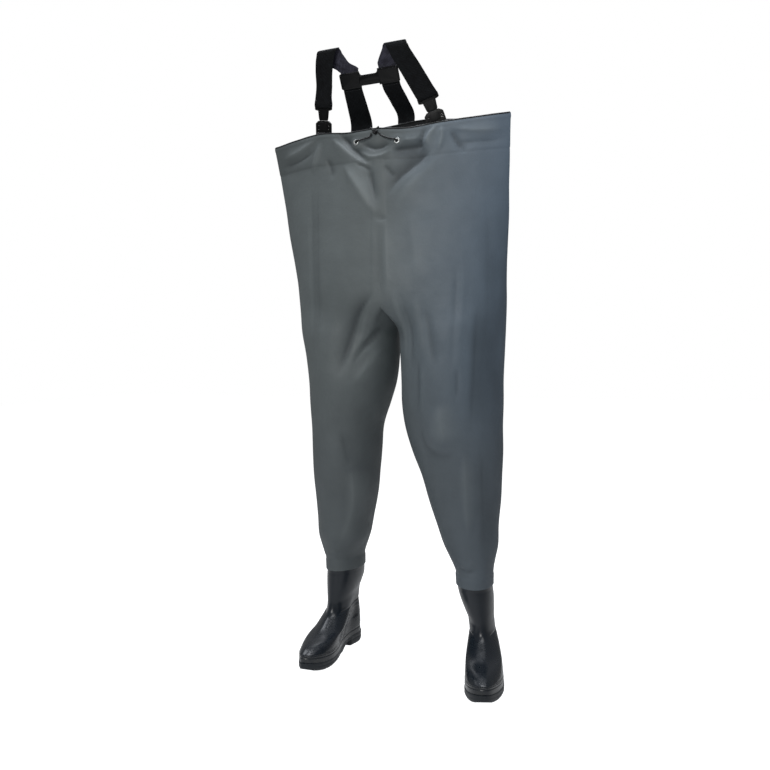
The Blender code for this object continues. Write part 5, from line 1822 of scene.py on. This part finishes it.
def half_turn(origin: Vector, front: Vector, up: Vector, radius: float, count: int = 7) -> list[Vector]:
    """Points of a webbing loop over a bar, from its front side to its back side."""
    angles = np.linspace(0.0, math.pi, count)
    return [origin + front * (radius * math.cos(a)) + up * (radius * math.sin(a)) for a in angles]


def rectangle(half_width: float, low: float, high: float, x: float = 0.0) -> list[Pair]:
    """Closed outline of a slot."""
    return [(x - half_width, low), (x + half_width, low), (x + half_width, high), (x - half_width, high)]


def arc(centre: Pair, radius: float, start: float, end: float, count: int = 13) -> list[Pair]:
    """Points of an arc between two angles in degrees, with its ends."""
    angles = np.radians(np.linspace(start, end, count))
    return [(centre[0] + radius * math.cos(a), centre[1] + radius * math.sin(a)) for a in angles]


def moulding(name: str, loops: Sequence[Sequence[Pair]], low: float, high: float,
             round_over: float, place: Matrix) -> Mesh:
    """Flat moulding from outlines, with rounded edges.

    Args:
        name: The mesh's name.
        loops: Outline and holes as across and up.
        low: Back face.
        high: Front face.
        round_over: Radius of the edges.
        place: Where it stands in the frame.

    Returns:
        The mesh.
    """
    curve = bpy.data.curves.new(name, "CURVE")
    curve.dimensions = "2D"
    curve.fill_mode = "BOTH"
    curve.extrude = (high - low) / 2.0 - round_over
    curve.bevel_depth = round_over
    curve.bevel_resolution = 2
    curve.offset = -round_over
    for loop in loops:
        spline = curve.splines.new("POLY")
        spline.points.add(len(loop) - 1)
        spline.use_cyclic_u = True
        for point, (across, up) in zip(spline.points, loop):
            point.co = (across, up, 0.0, 1.0)
    mesh = applied(bpy.data.objects.new(name, curve))
    mesh.transform(place @ Matrix.Translation((0.0, 0.0, (low + high) / 2.0)))
    return mesh


def joined(name: str, meshes: Sequence[Mesh]) -> Mesh:
    """One mesh from several.

    Args:
        name: The mesh's name.
        meshes: Meshes to join, which are removed.

    Returns:
        The joined mesh.
    """
    build = bmesh.new()
    for mesh in meshes:
        build.from_mesh(mesh)
        bpy.data.meshes.remove(mesh)
    return hand_over(name, build, FINE_MERGE)


@dataclass
class Yoke:
    """H-shaped moulding on the back that joins the four straps."""

    place: Triple = (-0.0188, -0.0120, 1.4690)
    tilt: float = math.radians(24.0)
    thickness: float = 0.0036
    leg_x: float = 0.0531
    leg_half: float = 0.0280
    half_height: float = 0.0195
    bar_half: float = 0.0095
    fillet: float = 0.0080
    corner: float = 0.0050
    clear: float = 0.0012
    rim: float = 0.0030
    rim_sunk: float = 0.0006
    rim_rise: float = 0.0009
    plate_edge: float = 0.0011
    rim_edge: float = 0.0007

    @property
    def axes(self) -> tuple[Vector, Vector, Vector]:
        """Width, back and up directions."""
        sine, cosine = math.sin(self.tilt), math.cos(self.tilt)
        return Vector((1.0, 0.0, 0.0)), Vector((0.0, cosine, sine)), Vector((0.0, -sine, cosine))

    def on_leg(self, side: Side) -> tuple[Vector, Vector, Vector]:
        """Middle of a strap on the back of one leg.

        Args:
            side: Which leg.

        Returns:
            The place, and the yoke's width and up directions.
        """
        wide, back, up = self.axes
        lie = self.thickness / 2.0 + self.clear + WEB_THICK / 2.0
        return Vector(self.place) + wide * (side.sign * self.leg_x) + back * lie, wide, up

    def outline(self, inset: float) -> list[Pair]:
        """The H, moved in from its true outline.

        Args:
            inset: Distance inside the outline.

        Returns:
            Closed outline as across and up.
        """
        inner = self.leg_x - self.leg_half + inset
        outer = self.leg_x + self.leg_half - inset
        top = self.half_height - inset
        bar = self.bar_half - inset
        fillet = self.fillet + inset
        corner = max(self.corner - inset, 0.001)
        quarter = arc((inner - fillet, bar + fillet), fillet, -90.0, 0.0)
        quarter += [(inner, top)]
        quarter += arc((outer - corner, top - corner), corner, 90.0, 0.0)
        return mirrored(quarter + [(x, -y) for x, y in reversed(quarter)])

    def dress(self, bench: Bench) -> None:
        """Builds the plate with its raised inner field.

        Args:
            bench: Where pieces are placed.
        """
        wide, _, up = self.axes
        home = flat_home(Vector(self.place), wide, up)
        half = self.thickness / 2.0
        parts = [
            moulding("yoke_plate", [self.outline(0.0)], -half, half, self.plate_edge, home),
            moulding("yoke_field", [self.outline(self.rim)], half - self.rim_sunk, half + self.rim_rise,
                     self.rim_edge, home),
        ]
        bench.place("yoke_moulding", joined("yoke_moulding", parts), YOKE_ACETAL, ["yoke"], sharp=50.0)


@dataclass
class Brace:
    """One side of the braces: tab, buckle, shoulder strap and back strap."""

    side: Side
    form: ClothForm
    yoke: Yoke
    tab_x: float
    buckle_up: Triple
    bar_rise: float
    route: tuple[Triple, ...]
    back_x: float
    back_foot: float
    strap_width: float = 0.050
    tab_width: float = 0.043
    ply: float = 0.0012
    tab_share: float = 0.25
    tab_set_back: float = 0.0094
    tab_sewn: float = 1.283
    tab_clear: float = 0.0012
    tab_run: float = 0.0120
    tab_loop: float = 0.0052
    tab_bow: Triple = (0.45, 0.0004, 0.0010)    # share of the way up, and how far the two plies bow back
    socket_thick: float = 0.0062
    socket_length: float = 0.036
    plug_thick: float = 0.0045
    plug_length: float = 0.036
    bar_half: float = 0.0022
    slot_height: float = 0.0042
    slot_play: float = 0.0005
    socket_rim: float = 0.0028      # beside the tab, as the plug's beside the strap
    plug_rim: float = 0.0016
    socket_edge: float = 0.0009     # rounded edges of the mouldings
    plug_edge: float = 0.0008
    raised_edge: float = 0.0006
    rib_edge: float = 0.0005
    raised_lift: Pair = (0.0005, 0.0011)    # how deep it reaches in and how far it stands out
    rib_lift: Pair = (0.0004, 0.0010)
    rib_x: float = 0.0085
    rib_half: float = 0.0011
    rib_ends: Pair = (0.0030, 0.0120)       # from the tongue's tip and from the bar
    arm_x: float = 0.0165
    arm: Triple = (0.0016, 0.0150, 0.0232)  # half width, low and high end
    arm_sunk: Pair = (0.0008, 0.0006)       # at the back and at the front
    opening: Triple = (0.0022, 0.0140, 0.0240)
    strap_loop: float = 0.0048
    strap_start: Pair = (0.016, 0.0030)     # above the plug's bar and in front of it
    strap_points: int = 40
    strap_turn: Pair = (0.1, 0.9)   # shares of its rise between which it turns to the yoke
    tail: float = 0.050
    tail_end: float = 0.018
    ply_run: float = 0.030
    fold_run: float = 0.0151
    yoke_run: float = 0.0225
    yoke_split: float = 0.001
    back_sewn: float = 1.288
    back_clear: float = 0.0010
    back_rise: float = 0.022
    back_bow: float = 0.002
    back_points: int = 16
    below_edge: float = 0.002
    tail_box: float = 0.018         # length of the sewn box on the folded tail
    yoke_box: Pair = (0.004, 0.024)     # sewn boxes as distances from a strap's end
    foot_box: Pair = (0.006, 0.046)

    def frame(self) -> tuple[Vector, Vector, Vector, Vector]:
        """Origin at the socket's bar, with width, front and up directions of the buckle.

        Returns:
            Origin, width, front, up.
        """
        collar = self.form.collar
        panel, out = self.form.panel_point(self.tab_x, collar - self.below_edge)
        edge = self.form.edge_rise(self.side, np.array([collar]), np.array([self.tab_share]))
        up = Vector(self.buckle_up).normalized()
        wide = up.cross(out).normalized()
        base = Vector((self.tab_x, panel.y + self.tab_set_back, collar + float(edge[0, 0])))
        return base + up * self.bar_rise, wide, wide.cross(up), up

    def plug_bar(self) -> Vector:
        """Place of the plug's bar, that the shoulder strap is looped round."""
        origin, _, _, up = self.frame()
        return origin + up * (self.socket_length + GAP + self.plug_length)

    def socket(self) -> Mesh:
        """Lower half of the buckle: bar, body with sloped shoulders, arm slots and a raised field.

        Returns:
            Its mesh.
        """
        half = self.tab_width / 2.0 + self.socket_rim
        top = self.socket_length
        outline = mirrored([(0.0160, top), (half - 0.0016, top - 0.0055), (half, top - 0.0075),
                            (half, -0.0040), (half - 0.0015, -0.0055)])
        raised = mirrored([(0.0105, top - 0.004), (0.0125, top - 0.008), (0.0125, 0.0130), (0.0105, 0.0110)])
        slot = rectangle(self.tab_width / 2.0 + self.slot_play, self.bar_half,
                         self.bar_half + self.slot_height)
        openings = [rectangle(*self.opening, sign * self.arm_x) for sign in (-1, 1)]
        # The pressed ends of the plug's side arms show in the openings.
        arms = [rectangle(*self.arm, sign * self.arm_x) for sign in (-1, 1)]
        thick = self.socket_thick / 2.0
        sunk, rise = self.raised_lift
        back, front = self.arm_sunk
        origin, wide, _, up = self.frame()
        home = flat_home(origin, wide, up)
        parts = [moulding("socket_body", [outline, slot, *openings], -thick, thick, self.socket_edge, home)]
        for low, high in ((thick - sunk, thick + rise), (-thick - rise, -thick + sunk)):
            parts.append(moulding("socket_field", [raised], low, high, self.raised_edge, home))
        for arm in arms:
            parts.append(moulding("release_arm", [arm], -thick + back, thick - front, self.raised_edge, home))
        return joined("buckle_socket", parts)

    def plug(self) -> Mesh:
        """Upper half of the buckle: strap bar, slot, tapered tongue and two stiffening ribs.

        Returns:
            Its mesh.
        """
        half = self.strap_width / 2.0 + self.plug_rim
        length = self.plug_length
        outline = mirrored([(half - 0.0015, 0.0040), (half, 0.0025), (half, -0.0085),
                            (half - 0.0030, -0.0105), (0.0165, -0.0117), (0.0138, 0.0040 - length),
                            (0.0118, -length)])
        slot = rectangle(self.strap_width / 2.0 + self.slot_play, -self.bar_half - self.slot_height,
                         -self.bar_half)
        thick = self.plug_thick / 2.0
        _, wide, _, up = self.frame()
        home = flat_home(self.plug_bar(), wide, up)
        parts = [moulding("plug_body", [outline, slot], -thick, thick, self.plug_edge, home)]
        (tip, root), (sunk, rise) = self.rib_ends, self.rib_lift
        for sign in (-1, 1):
            rib = rectangle(self.rib_half, tip - length, -root, sign * self.rib_x)
            parts.append(moulding("plug_rib", [rib], thick - sunk, thick + rise, self.rib_edge, home))
        return joined("buckle_plug", parts)

    def tab_ribbon(self) -> Ribbon:
        """Short webbing loop, sewn inside the collar and looped round the socket's bar.

        Returns:
            The ribbon.
        """
        origin, wide, front, up = self.frame()
        sewn_x = origin.x - (origin.z - self.tab_sewn) * up.x / up.z
        panel, out = self.form.panel_point(sewn_x, self.tab_sewn)
        sewn = panel - out * (self.form.wall + self.form.seam_step + self.tab_clear + WEB_THICK / 2.0)
        behind = -out * (2.0 * self.ply)
        share, bow, far_bow = self.tab_bow
        middle = sewn.lerp(origin, share)
        loop = half_turn(origin, front, up, self.tab_loop)
        runs = [up * self.tab_run, up * (self.tab_run / 2.0)]
        loop = [*[loop[0] - run for run in runs], *loop, *[loop[-1] - run for run in reversed(runs)]]
        points = [sewn, middle - front * bow, *loop, middle + behind - front * far_bow, sewn + behind]
        sewn_wide = UP.cross(out).normalized()
        half_way = (sewn_wide + wide) / 2.0
        across = [sewn_wide, half_way, *[wide] * len(loop), half_way, sewn_wide]
        return Ribbon(np.array(points), np.array(across), (self.tab_width, self.tab_width), stations=110)

    def shoulder_ribbon(self) -> Ribbon:
        """Webbing from the plug's bar over the shoulder to the back of the yoke.

        Returns:
            The ribbon.
        """
        _, buckle_wide, front, up = self.frame()
        bar = self.plug_bar()
        along = (Vector(self.route[0]) - bar).normalized()
        tail = [bar + along * height - front * self.ply for height in (self.tail, self.tail_end)]
        loop = half_turn(bar, front, -up, self.strap_loop)[::-1]
        leg, wide, yoke_up = self.yoke.on_leg(self.side)
        above, before = self.strap_start
        route = [bar + along * above + front * before, *[Vector(point) for point in self.route]]
        route += [leg + yoke_up * run for run in (self.yoke_run, self.yoke_run / 2.0, self.yoke_split)]
        upper = smooth_route(route, self.strap_points)
        heights = upper[:, 2]
        turned = ramp((heights - heights[0]) / (heights.max() - heights[0]), *self.strap_turn)
        turned[int(np.argmax(heights)):] = 1.0
        turning = np.array(buckle_wide) * (1.0 - turned)[:, None] + np.array(wide) * turned[:, None]
        points = np.concatenate((np.array([*tail, *loop]), upper))
        across = np.concatenate((np.array([buckle_wide] * (len(tail) + len(loop))), turning))
        return Ribbon(points, across, (self.strap_width, self.strap_width), stations=300)

    def back_ribbon(self) -> Ribbon:
        """Webbing from the back of the yoke to the outside of the back panel.

        Returns:
            The ribbon.
        """
        leg, wide, yoke_up = self.yoke.on_leg(self.side)
        clear = GAP + WEB_THICK / 2.0 + self.back_clear
        panel = [self.form.panel_point(self.back_x, level, Panel.BACK)
                 for level in (self.form.collar - self.below_edge, self.back_sewn)]
        sewn = [place + out * clear for place, out in panel]
        edge = sewn[0] + UP * self.back_rise
        route = [leg - yoke_up * run for run in (self.yoke_split, self.yoke_run / 2.0, self.yoke_run)]
        route += [route[-1].lerp(edge, 0.5) + Vector((0.0, self.back_bow, 0.0)), edge, *sewn]
        points = smooth_route(route, self.back_points)
        panel_wide = panel[1][1].cross(UP).normalized()
        share = np.linspace(0.0, 1.0, len(points))[:, None]
        across = np.array(wide) * (1.0 - share) + np.array(panel_wide) * share
        return Ribbon(points, across, (self.strap_width, self.back_foot), stations=120)

    def dress(self, bench: Bench) -> list[Array]:
        """Builds this side's pieces.

        Args:
            bench: Where pieces are placed.

        Returns:
            Lines of stitching on the webbing.
        """
        name = self.side.value
        tab, shoulder, back = self.tab_ribbon(), self.shoulder_ribbon(), self.back_ribbon()
        bench.place("tab_webbing_" + name, tab.mesh("tab_webbing"), STRAP_WEB, ["strap_tab_" + name])
        bench.place("shoulder_webbing_" + name, shoulder.mesh("shoulder_webbing"), STRAP_WEB,
                    ["shoulder_strap_" + name], inside=STRAP_INNER)
        bench.place("back_webbing_" + name, back.mesh("back_webbing"), STRAP_WEB, ["back_strap_" + name])
        bench.place("socket_" + name, self.socket(), BUCKLE_ACETAL, ["buckle_socket_" + name], sharp=45.0)
        bench.place("plug_" + name, self.plug(), BUCKLE_ACETAL, ["buckle_plug_" + name], sharp=45.0)
        reach = shoulder.frames()[3][-1]
        foot = back.frames()[3][-1]
        # The folded tail is sewn to the strap; its far face shows the same box.
        sewn_from = self.tail + self.fold_run + self.ply_run
        boxes = [(shoulder, sewn_from, sewn_from + self.tail_box, -1.0)]
        near, far = self.yoke_box
        foot_near, foot_far = self.foot_box
        for face in (1.0, -1.0):
            boxes += [(shoulder, reach - far, reach - near, face), (back, near, far, face),
                      (back, foot - foot_far, foot - foot_near, face)]
        return [strap.on_face(line, face) for strap, low, high, face in boxes
                for line in box_stitch(low, high)]


@dataclass
class Drawcord:
    """Cord from each eyelet to a knot at the front of the collar, with its turned eyelets."""

    form: ClothForm
    eyelets: Mapping[Side, Pair]
    radius: float = 0.0021
    knot: Triple = (-0.001, -0.0245, 1.3330)
    knot_radii: Triple = (0.0075, 0.0052, 0.0062)
    end_drop: float = 0.0034
    points: int = 40
    knot_points: int = 72
    end_points: int = 14
    ring: int = 12
    eyelet_segments: int = 48
    aside: Triple = (0.3, 1.0, 0.2)     # a direction that no piece of cord follows
    knot_spread: float = 1.12       # the knot's outside is this much wider than the solid

    # Share of the way to the knot, distance off the cloth, sag below the straight line
    lie: tuple[Triple, ...] = (
        (0.00, -0.0010, 0.0000), (0.07, 0.0050, -0.0004), (0.26, 0.0074, 0.0040),
        (0.52, 0.0052, 0.0062), (0.78, 0.0040, 0.0062),
    )
    # Turned profile: radius and height over the cloth
    profile: tuple[Pair, ...] = (
        (0.0079, 0.0003), (0.0081, 0.0006), (0.0079, 0.0010), (0.0068, 0.0015), (0.0058, 0.0018),
        (0.0048, 0.0018), (0.0040, 0.0016), (0.0036, 0.0010), (0.0036, -0.0034), (0.0043, -0.0034),
        (0.0043, 0.0003),
    )
    # One short end out of the knot: outward, forward or back, up
    short_end: tuple[Triple, ...] = (
        (0.0, 0.0, 0.0010), (0.0040, -0.0016, 0.0045), (0.0085, -0.0012, 0.0082), (0.0110, 0.0004, 0.0108),
    )

    def route(self, side: Side) -> Array:
        """Cord from its eyelet along the hem to the knot.

        Args:
            side: Which run.

        Returns:
            Points in the frame.
        """
        place, _ = self.form.panel_point(*self.eyelets[side])
        knot = Vector(self.knot)
        lift = place.z - self.eyelets[side][1]
        route = []
        for share, off, sag in self.lie:
            straight = place.lerp(knot, share)
            cloth, out = self.form.panel_point(straight.x, straight.z - lift - sag)
            route.append(cloth + out * off)
        beside = side.sign * (self.knot_radii[0] + GAP + self.radius)
        route.append(knot + Vector((beside, 0.0, -self.end_drop)))
        return in_frame(smooth_route(route, self.points))

    def tube(self, build: BMesh, path: Array, closed: bool) -> None:
        """Adds a cord along a path, with a UV map of metres round and along it.

        Args:
            build: Mesh under construction.
            path: The cord's centre line.
            closed: Whether the path closes on itself.
        """
        if closed:
            tangent = np.roll(path, -1, axis=0) - np.roll(path, 1, axis=0)
        else:
            tangent = np.gradient(path, axis=0)
        tangent = unit(tangent)
        side = unit(np.cross(tangent, self.aside))
        other = np.cross(tangent, side)
        angles = np.arange(self.ring) * math.tau / self.ring
        rings = path[:, None] + self.radius * (np.cos(angles)[None, :, None] * side[:, None]
                                               + np.sin(angles)[None, :, None] * other[:, None])
        if closed:
            rings = np.concatenate((rings, rings[:1]))
        first = len(build.verts)
        loft(build, rings, capped=not closed)
        build.verts.index_update()
        layer = build.loops.layers.uv.verify()
        along = distances(rings.mean(axis=1))
        for face in build.faces:
            for corner in face.loops:
                if corner.vert.index >= first:
                    row, column = divmod(corner.vert.index - first, self.ring)
                    corner[layer].uv = (angles[column] * self.radius, along[row])

    def cord_mesh(self, name: str, paths: Sequence[tuple[Array, bool]]) -> Mesh:
        """Cord pieces as one mesh.

        Args:
            name: The mesh's name.
            paths: Centre line of each piece and whether it closes.

        Returns:
            The mesh.
        """
        build = bmesh.new()
        build.loops.layers.uv.new("braid")
        for path, closed in paths:
            self.tube(build, path, closed)
        return hand_over(name, build, FINE_MERGE)

    def knot_paths(self) -> list[tuple[Array, bool]]:
        """Overhand knot with its two short ends.

        Returns:
            Paths for the cord mesh.
        """
        t = np.linspace(0.0, math.tau, self.knot_points, endpoint=False)
        size = self.knot_spread * np.array(self.knot_radii) - self.radius
        trefoil = np.column_stack(((np.sin(t) + 2.0 * np.sin(2.0 * t)) / 3.0, -np.sin(3.0 * t),
                                   (np.cos(t) - 2.0 * np.cos(2.0 * t)) / 3.0)) * size
        centre = in_frame(np.array(self.knot))
        paths = [(centre + trefoil, True)]
        for side in Side:
            end = np.array(self.short_end) * (side.sign, 1.0, 1.0)
            paths.append((centre + smooth_route(end, self.end_points), False))
        return paths

    def eyelet(self, side: Side) -> Mesh:
        """Turned ring through the hem.

        Args:
            side: Which eyelet.

        Returns:
            Its mesh, in the frame.
        """
        home = cloth_home(*self.form.panel_point(*self.eyelets[side]))
        angles = np.arange(self.eyelet_segments) * math.tau / self.eyelet_segments
        rings = [[home @ Vector((radius * math.cos(a), radius * math.sin(a), height)) for a in angles]
                 for radius, height in (*self.profile, self.profile[0])]
        build = bmesh.new()
        loft(build, rings)
        return closed_mesh("eyelet", build)

    def dress(self, bench: Bench) -> None:
        """Builds eyelets, both runs of cord and the knot.

        Args:
            bench: Where pieces are placed.
        """
        knot = bench.place("drawcord_tie", self.cord_mesh("tie", self.knot_paths()), CORD_BRAID,
                           ["drawcord_knot"], sharp=70.0)
        for side in Side:
            name, path = side.value, self.route(side)
            run = bench.place("drawcord_run_" + name, self.cord_mesh("run", [(path, False)]), CORD_BRAID,
                              ["drawcord_" + name], sharp=70.0)
            bench.place("eyelet_ring_" + name, self.eyelet(side), EYELET_BRASS, ["eyelet_" + name],
                        sharp=60.0)


# Studio

# Name, place, power in watts, edge length, colour, and whether the garment blocks the light. The legs
# would hide the last two from the boots, whose vamps mirror them.
LIGHTS = (
    ("key_box", (-0.2, -3.0, 2.2), 41.0, 1.4, "#FFFEFC", True),
    ("top_box", (0.7, -0.8, 3.0), 14.0, 1.3, "#FFFFFF", True),
    ("crown_box", (0.0, -0.15, 2.7), 5.0, 0.8, "#F4F8FF", True),
    ("back_box", (-1.2, 2.2, 2.9), 4.0, 1.0, "#F4F8FF", True),
    ("left_vamp_box", (-0.15, 0.30, 2.5), 25.0, 0.75, "#F4F8FF", False),
    ("right_vamp_box", (-1.5, 0.45, 2.5), 7.0, 0.7, "#F4F8FF", False),
)


@dataclass
class Studio:
    """Pale floor, soft lights and the camera."""

    azimuth: float = math.radians(25.931)
    distance: float = 2.257
    height: float = 0.825
    pitch: float = math.radians(3.056)
    roll: float = math.radians(1.26)
    focal_px: float = 893.0
    image_px: float = 770.0
    sensor: float = 36.0
    floor_half: float = 9.0
    floor_drop: float = 0.0004
    lit_height: float = 0.85        # the lights look at this height
    world_light: float = 0.23

    def camera(self) -> None:
        """Puts the camera at the photograph's angle."""
        ahead = Vector((-math.sin(self.azimuth), math.cos(self.azimuth), 0.0))
        right = Vector((math.cos(self.azimuth), math.sin(self.azimuth), 0.0))
        look = ahead * math.cos(self.pitch) - UP * math.sin(self.pitch)
        above = UP * math.cos(self.pitch) + ahead * math.sin(self.pitch)
        wide = right * math.cos(self.roll) - above * math.sin(self.roll)
        tall = above * math.cos(self.roll) + right * math.sin(self.roll)
        place = Vector((math.sin(self.azimuth) * self.distance, -math.cos(self.azimuth) * self.distance,
                        self.height)) - FLOOR_CENTRE
        data = bpy.data.cameras.new("camera")
        data.sensor_width = self.sensor
        data.lens = self.focal_px / self.image_px * self.sensor
        item = shown("camera", data)
        item.matrix_world = Matrix.Translation(place) @ Matrix((wide, tall, -look)).transposed().to_4x4()
        bpy.context.scene.camera = item

    def floor(self) -> None:
        """Lays the pale floor."""
        build = bmesh.new()
        bmesh.ops.create_grid(build, x_segments=8, y_segments=8, size=self.floor_half)
        mesh = hand_over("floor", build, outward=False)
        mesh.materials.append(FLOOR_PAINT.material())
        mesh.transform(Matrix.Translation((0.0, 0.0, -self.floor_drop)))
        shown("floor", mesh)

    def light(self, name: str, place: Triple, power: float, size: float, colour: str, shadow: bool) -> None:
        """Adds one soft box that looks at the bib.

        Args:
            name: The light's name.
            place: Where it stands.
            power: Power in watts.
            size: Edge length.
            colour: Its colour.
            shadow: Whether the garment blocks it.
        """
        data = bpy.data.lights.new(name, "AREA")
        data.use_shadow = shadow
        data.energy = power
        data.size = size
        data.color = linear(colour)[:3]
        item = shown(name, data)
        item.location = place
        look = UP * self.lit_height - Vector(place)
        item.rotation_euler = look.to_track_quat("-Z", "Y").to_euler()

    def world(self) -> None:
        """Even white surroundings: full white to the eye, softer as light."""
        world = bpy.data.worlds.new("studio")
        world.use_nodes = True
        tree = world.node_tree
        seen = add_node(tree, "ShaderNodeLightPath").outputs["Is Camera Ray"]
        strength = add_node(tree, "ShaderNodeMapRange", None,
                            {"Value": seen, "To Min": self.world_light, "To Max": 1.0})
        feed(tree, tree.nodes["Background"], {"Color": linear("#FFFFFF"), "Strength": strength})
        bpy.context.scene.world = world
        bpy.context.scene.view_settings.view_transform = "Standard"

    def build(self) -> None:
        """Sets up camera, floor, lights and surroundings."""
        self.camera()
        self.floor()
        for row in LIGHTS:
            self.light(*row)
        self.world()


EYELETS = {Side.RIGHT: (-0.056, 1.311), Side.LEFT: (0.057, 1.306)}
STITCH_PITCH = 0.0034
STITCH_LENGTH = 0.0027
STITCH_THICK = 0.0009


def main() -> None:
    """Builds the waders piece by piece."""
    logging.basicConfig(level=logging.INFO, format="%(name)s %(message)s")
    Studio().build()
    bench, work = Bench(), PathWork()
    form, yoke = ClothForm(), Yoke()
    Drawcord(form, EYELETS).dress(bench)
    braces = (
        Brace(Side.RIGHT, form, yoke, tab_x=-0.160, buckle_up=(0.134, -0.215, 0.967), bar_rise=-0.002, route=(
            (-0.1400, -0.0260, 1.4600), (-0.1330, -0.0370, 1.4960), (-0.1240, -0.0450, 1.5270),
            (-0.1185, -0.0462, 1.5400), (-0.1150, -0.0430, 1.5450), (-0.1120, -0.0375, 1.5415),
            (-0.1070, -0.0325, 1.5290), (-0.0965, -0.0280, 1.5110)), back_x=-0.076, back_foot=0.068),
        Brace(Side.LEFT, form, yoke, tab_x=0.155, buckle_up=(-0.290, -0.165, 0.943), bar_rise=-0.006, route=(
            (0.1035, -0.0340, 1.4680), (0.0830, -0.0435, 1.5060), (0.0735, -0.0465, 1.5250),
            (0.0673, -0.0440, 1.5350), (0.0615, -0.0385, 1.5340), (0.0550, -0.0330, 1.5240),
            (0.0450, -0.0280, 1.5090)), back_x=0.050, back_foot=0.045),
    )
    cloth = BibAndLegs(form, list(EYELETS.values()), [b.tab_x for b in braces], [b.back_x for b in braces])
    cloth.dress(bench, work)
    for boot in BOOTS.values():
        boot.dress(bench)
    yoke.dress(bench)
    lines = [line for brace in braces for line in brace.dress(bench)]
    sewn = work.run("webbing_stitches", PathTree.STITCHES, lines, THREAD, STITCH_PITCH, STITCH_LENGTH,
                    STITCH_THICK)
    bench.place("webbing_stitches", sewn, THREAD, sharp=80.0)
    LOG.info("%d pieces", len(bench.pieces))


if __name__ == "__main__":
    main()
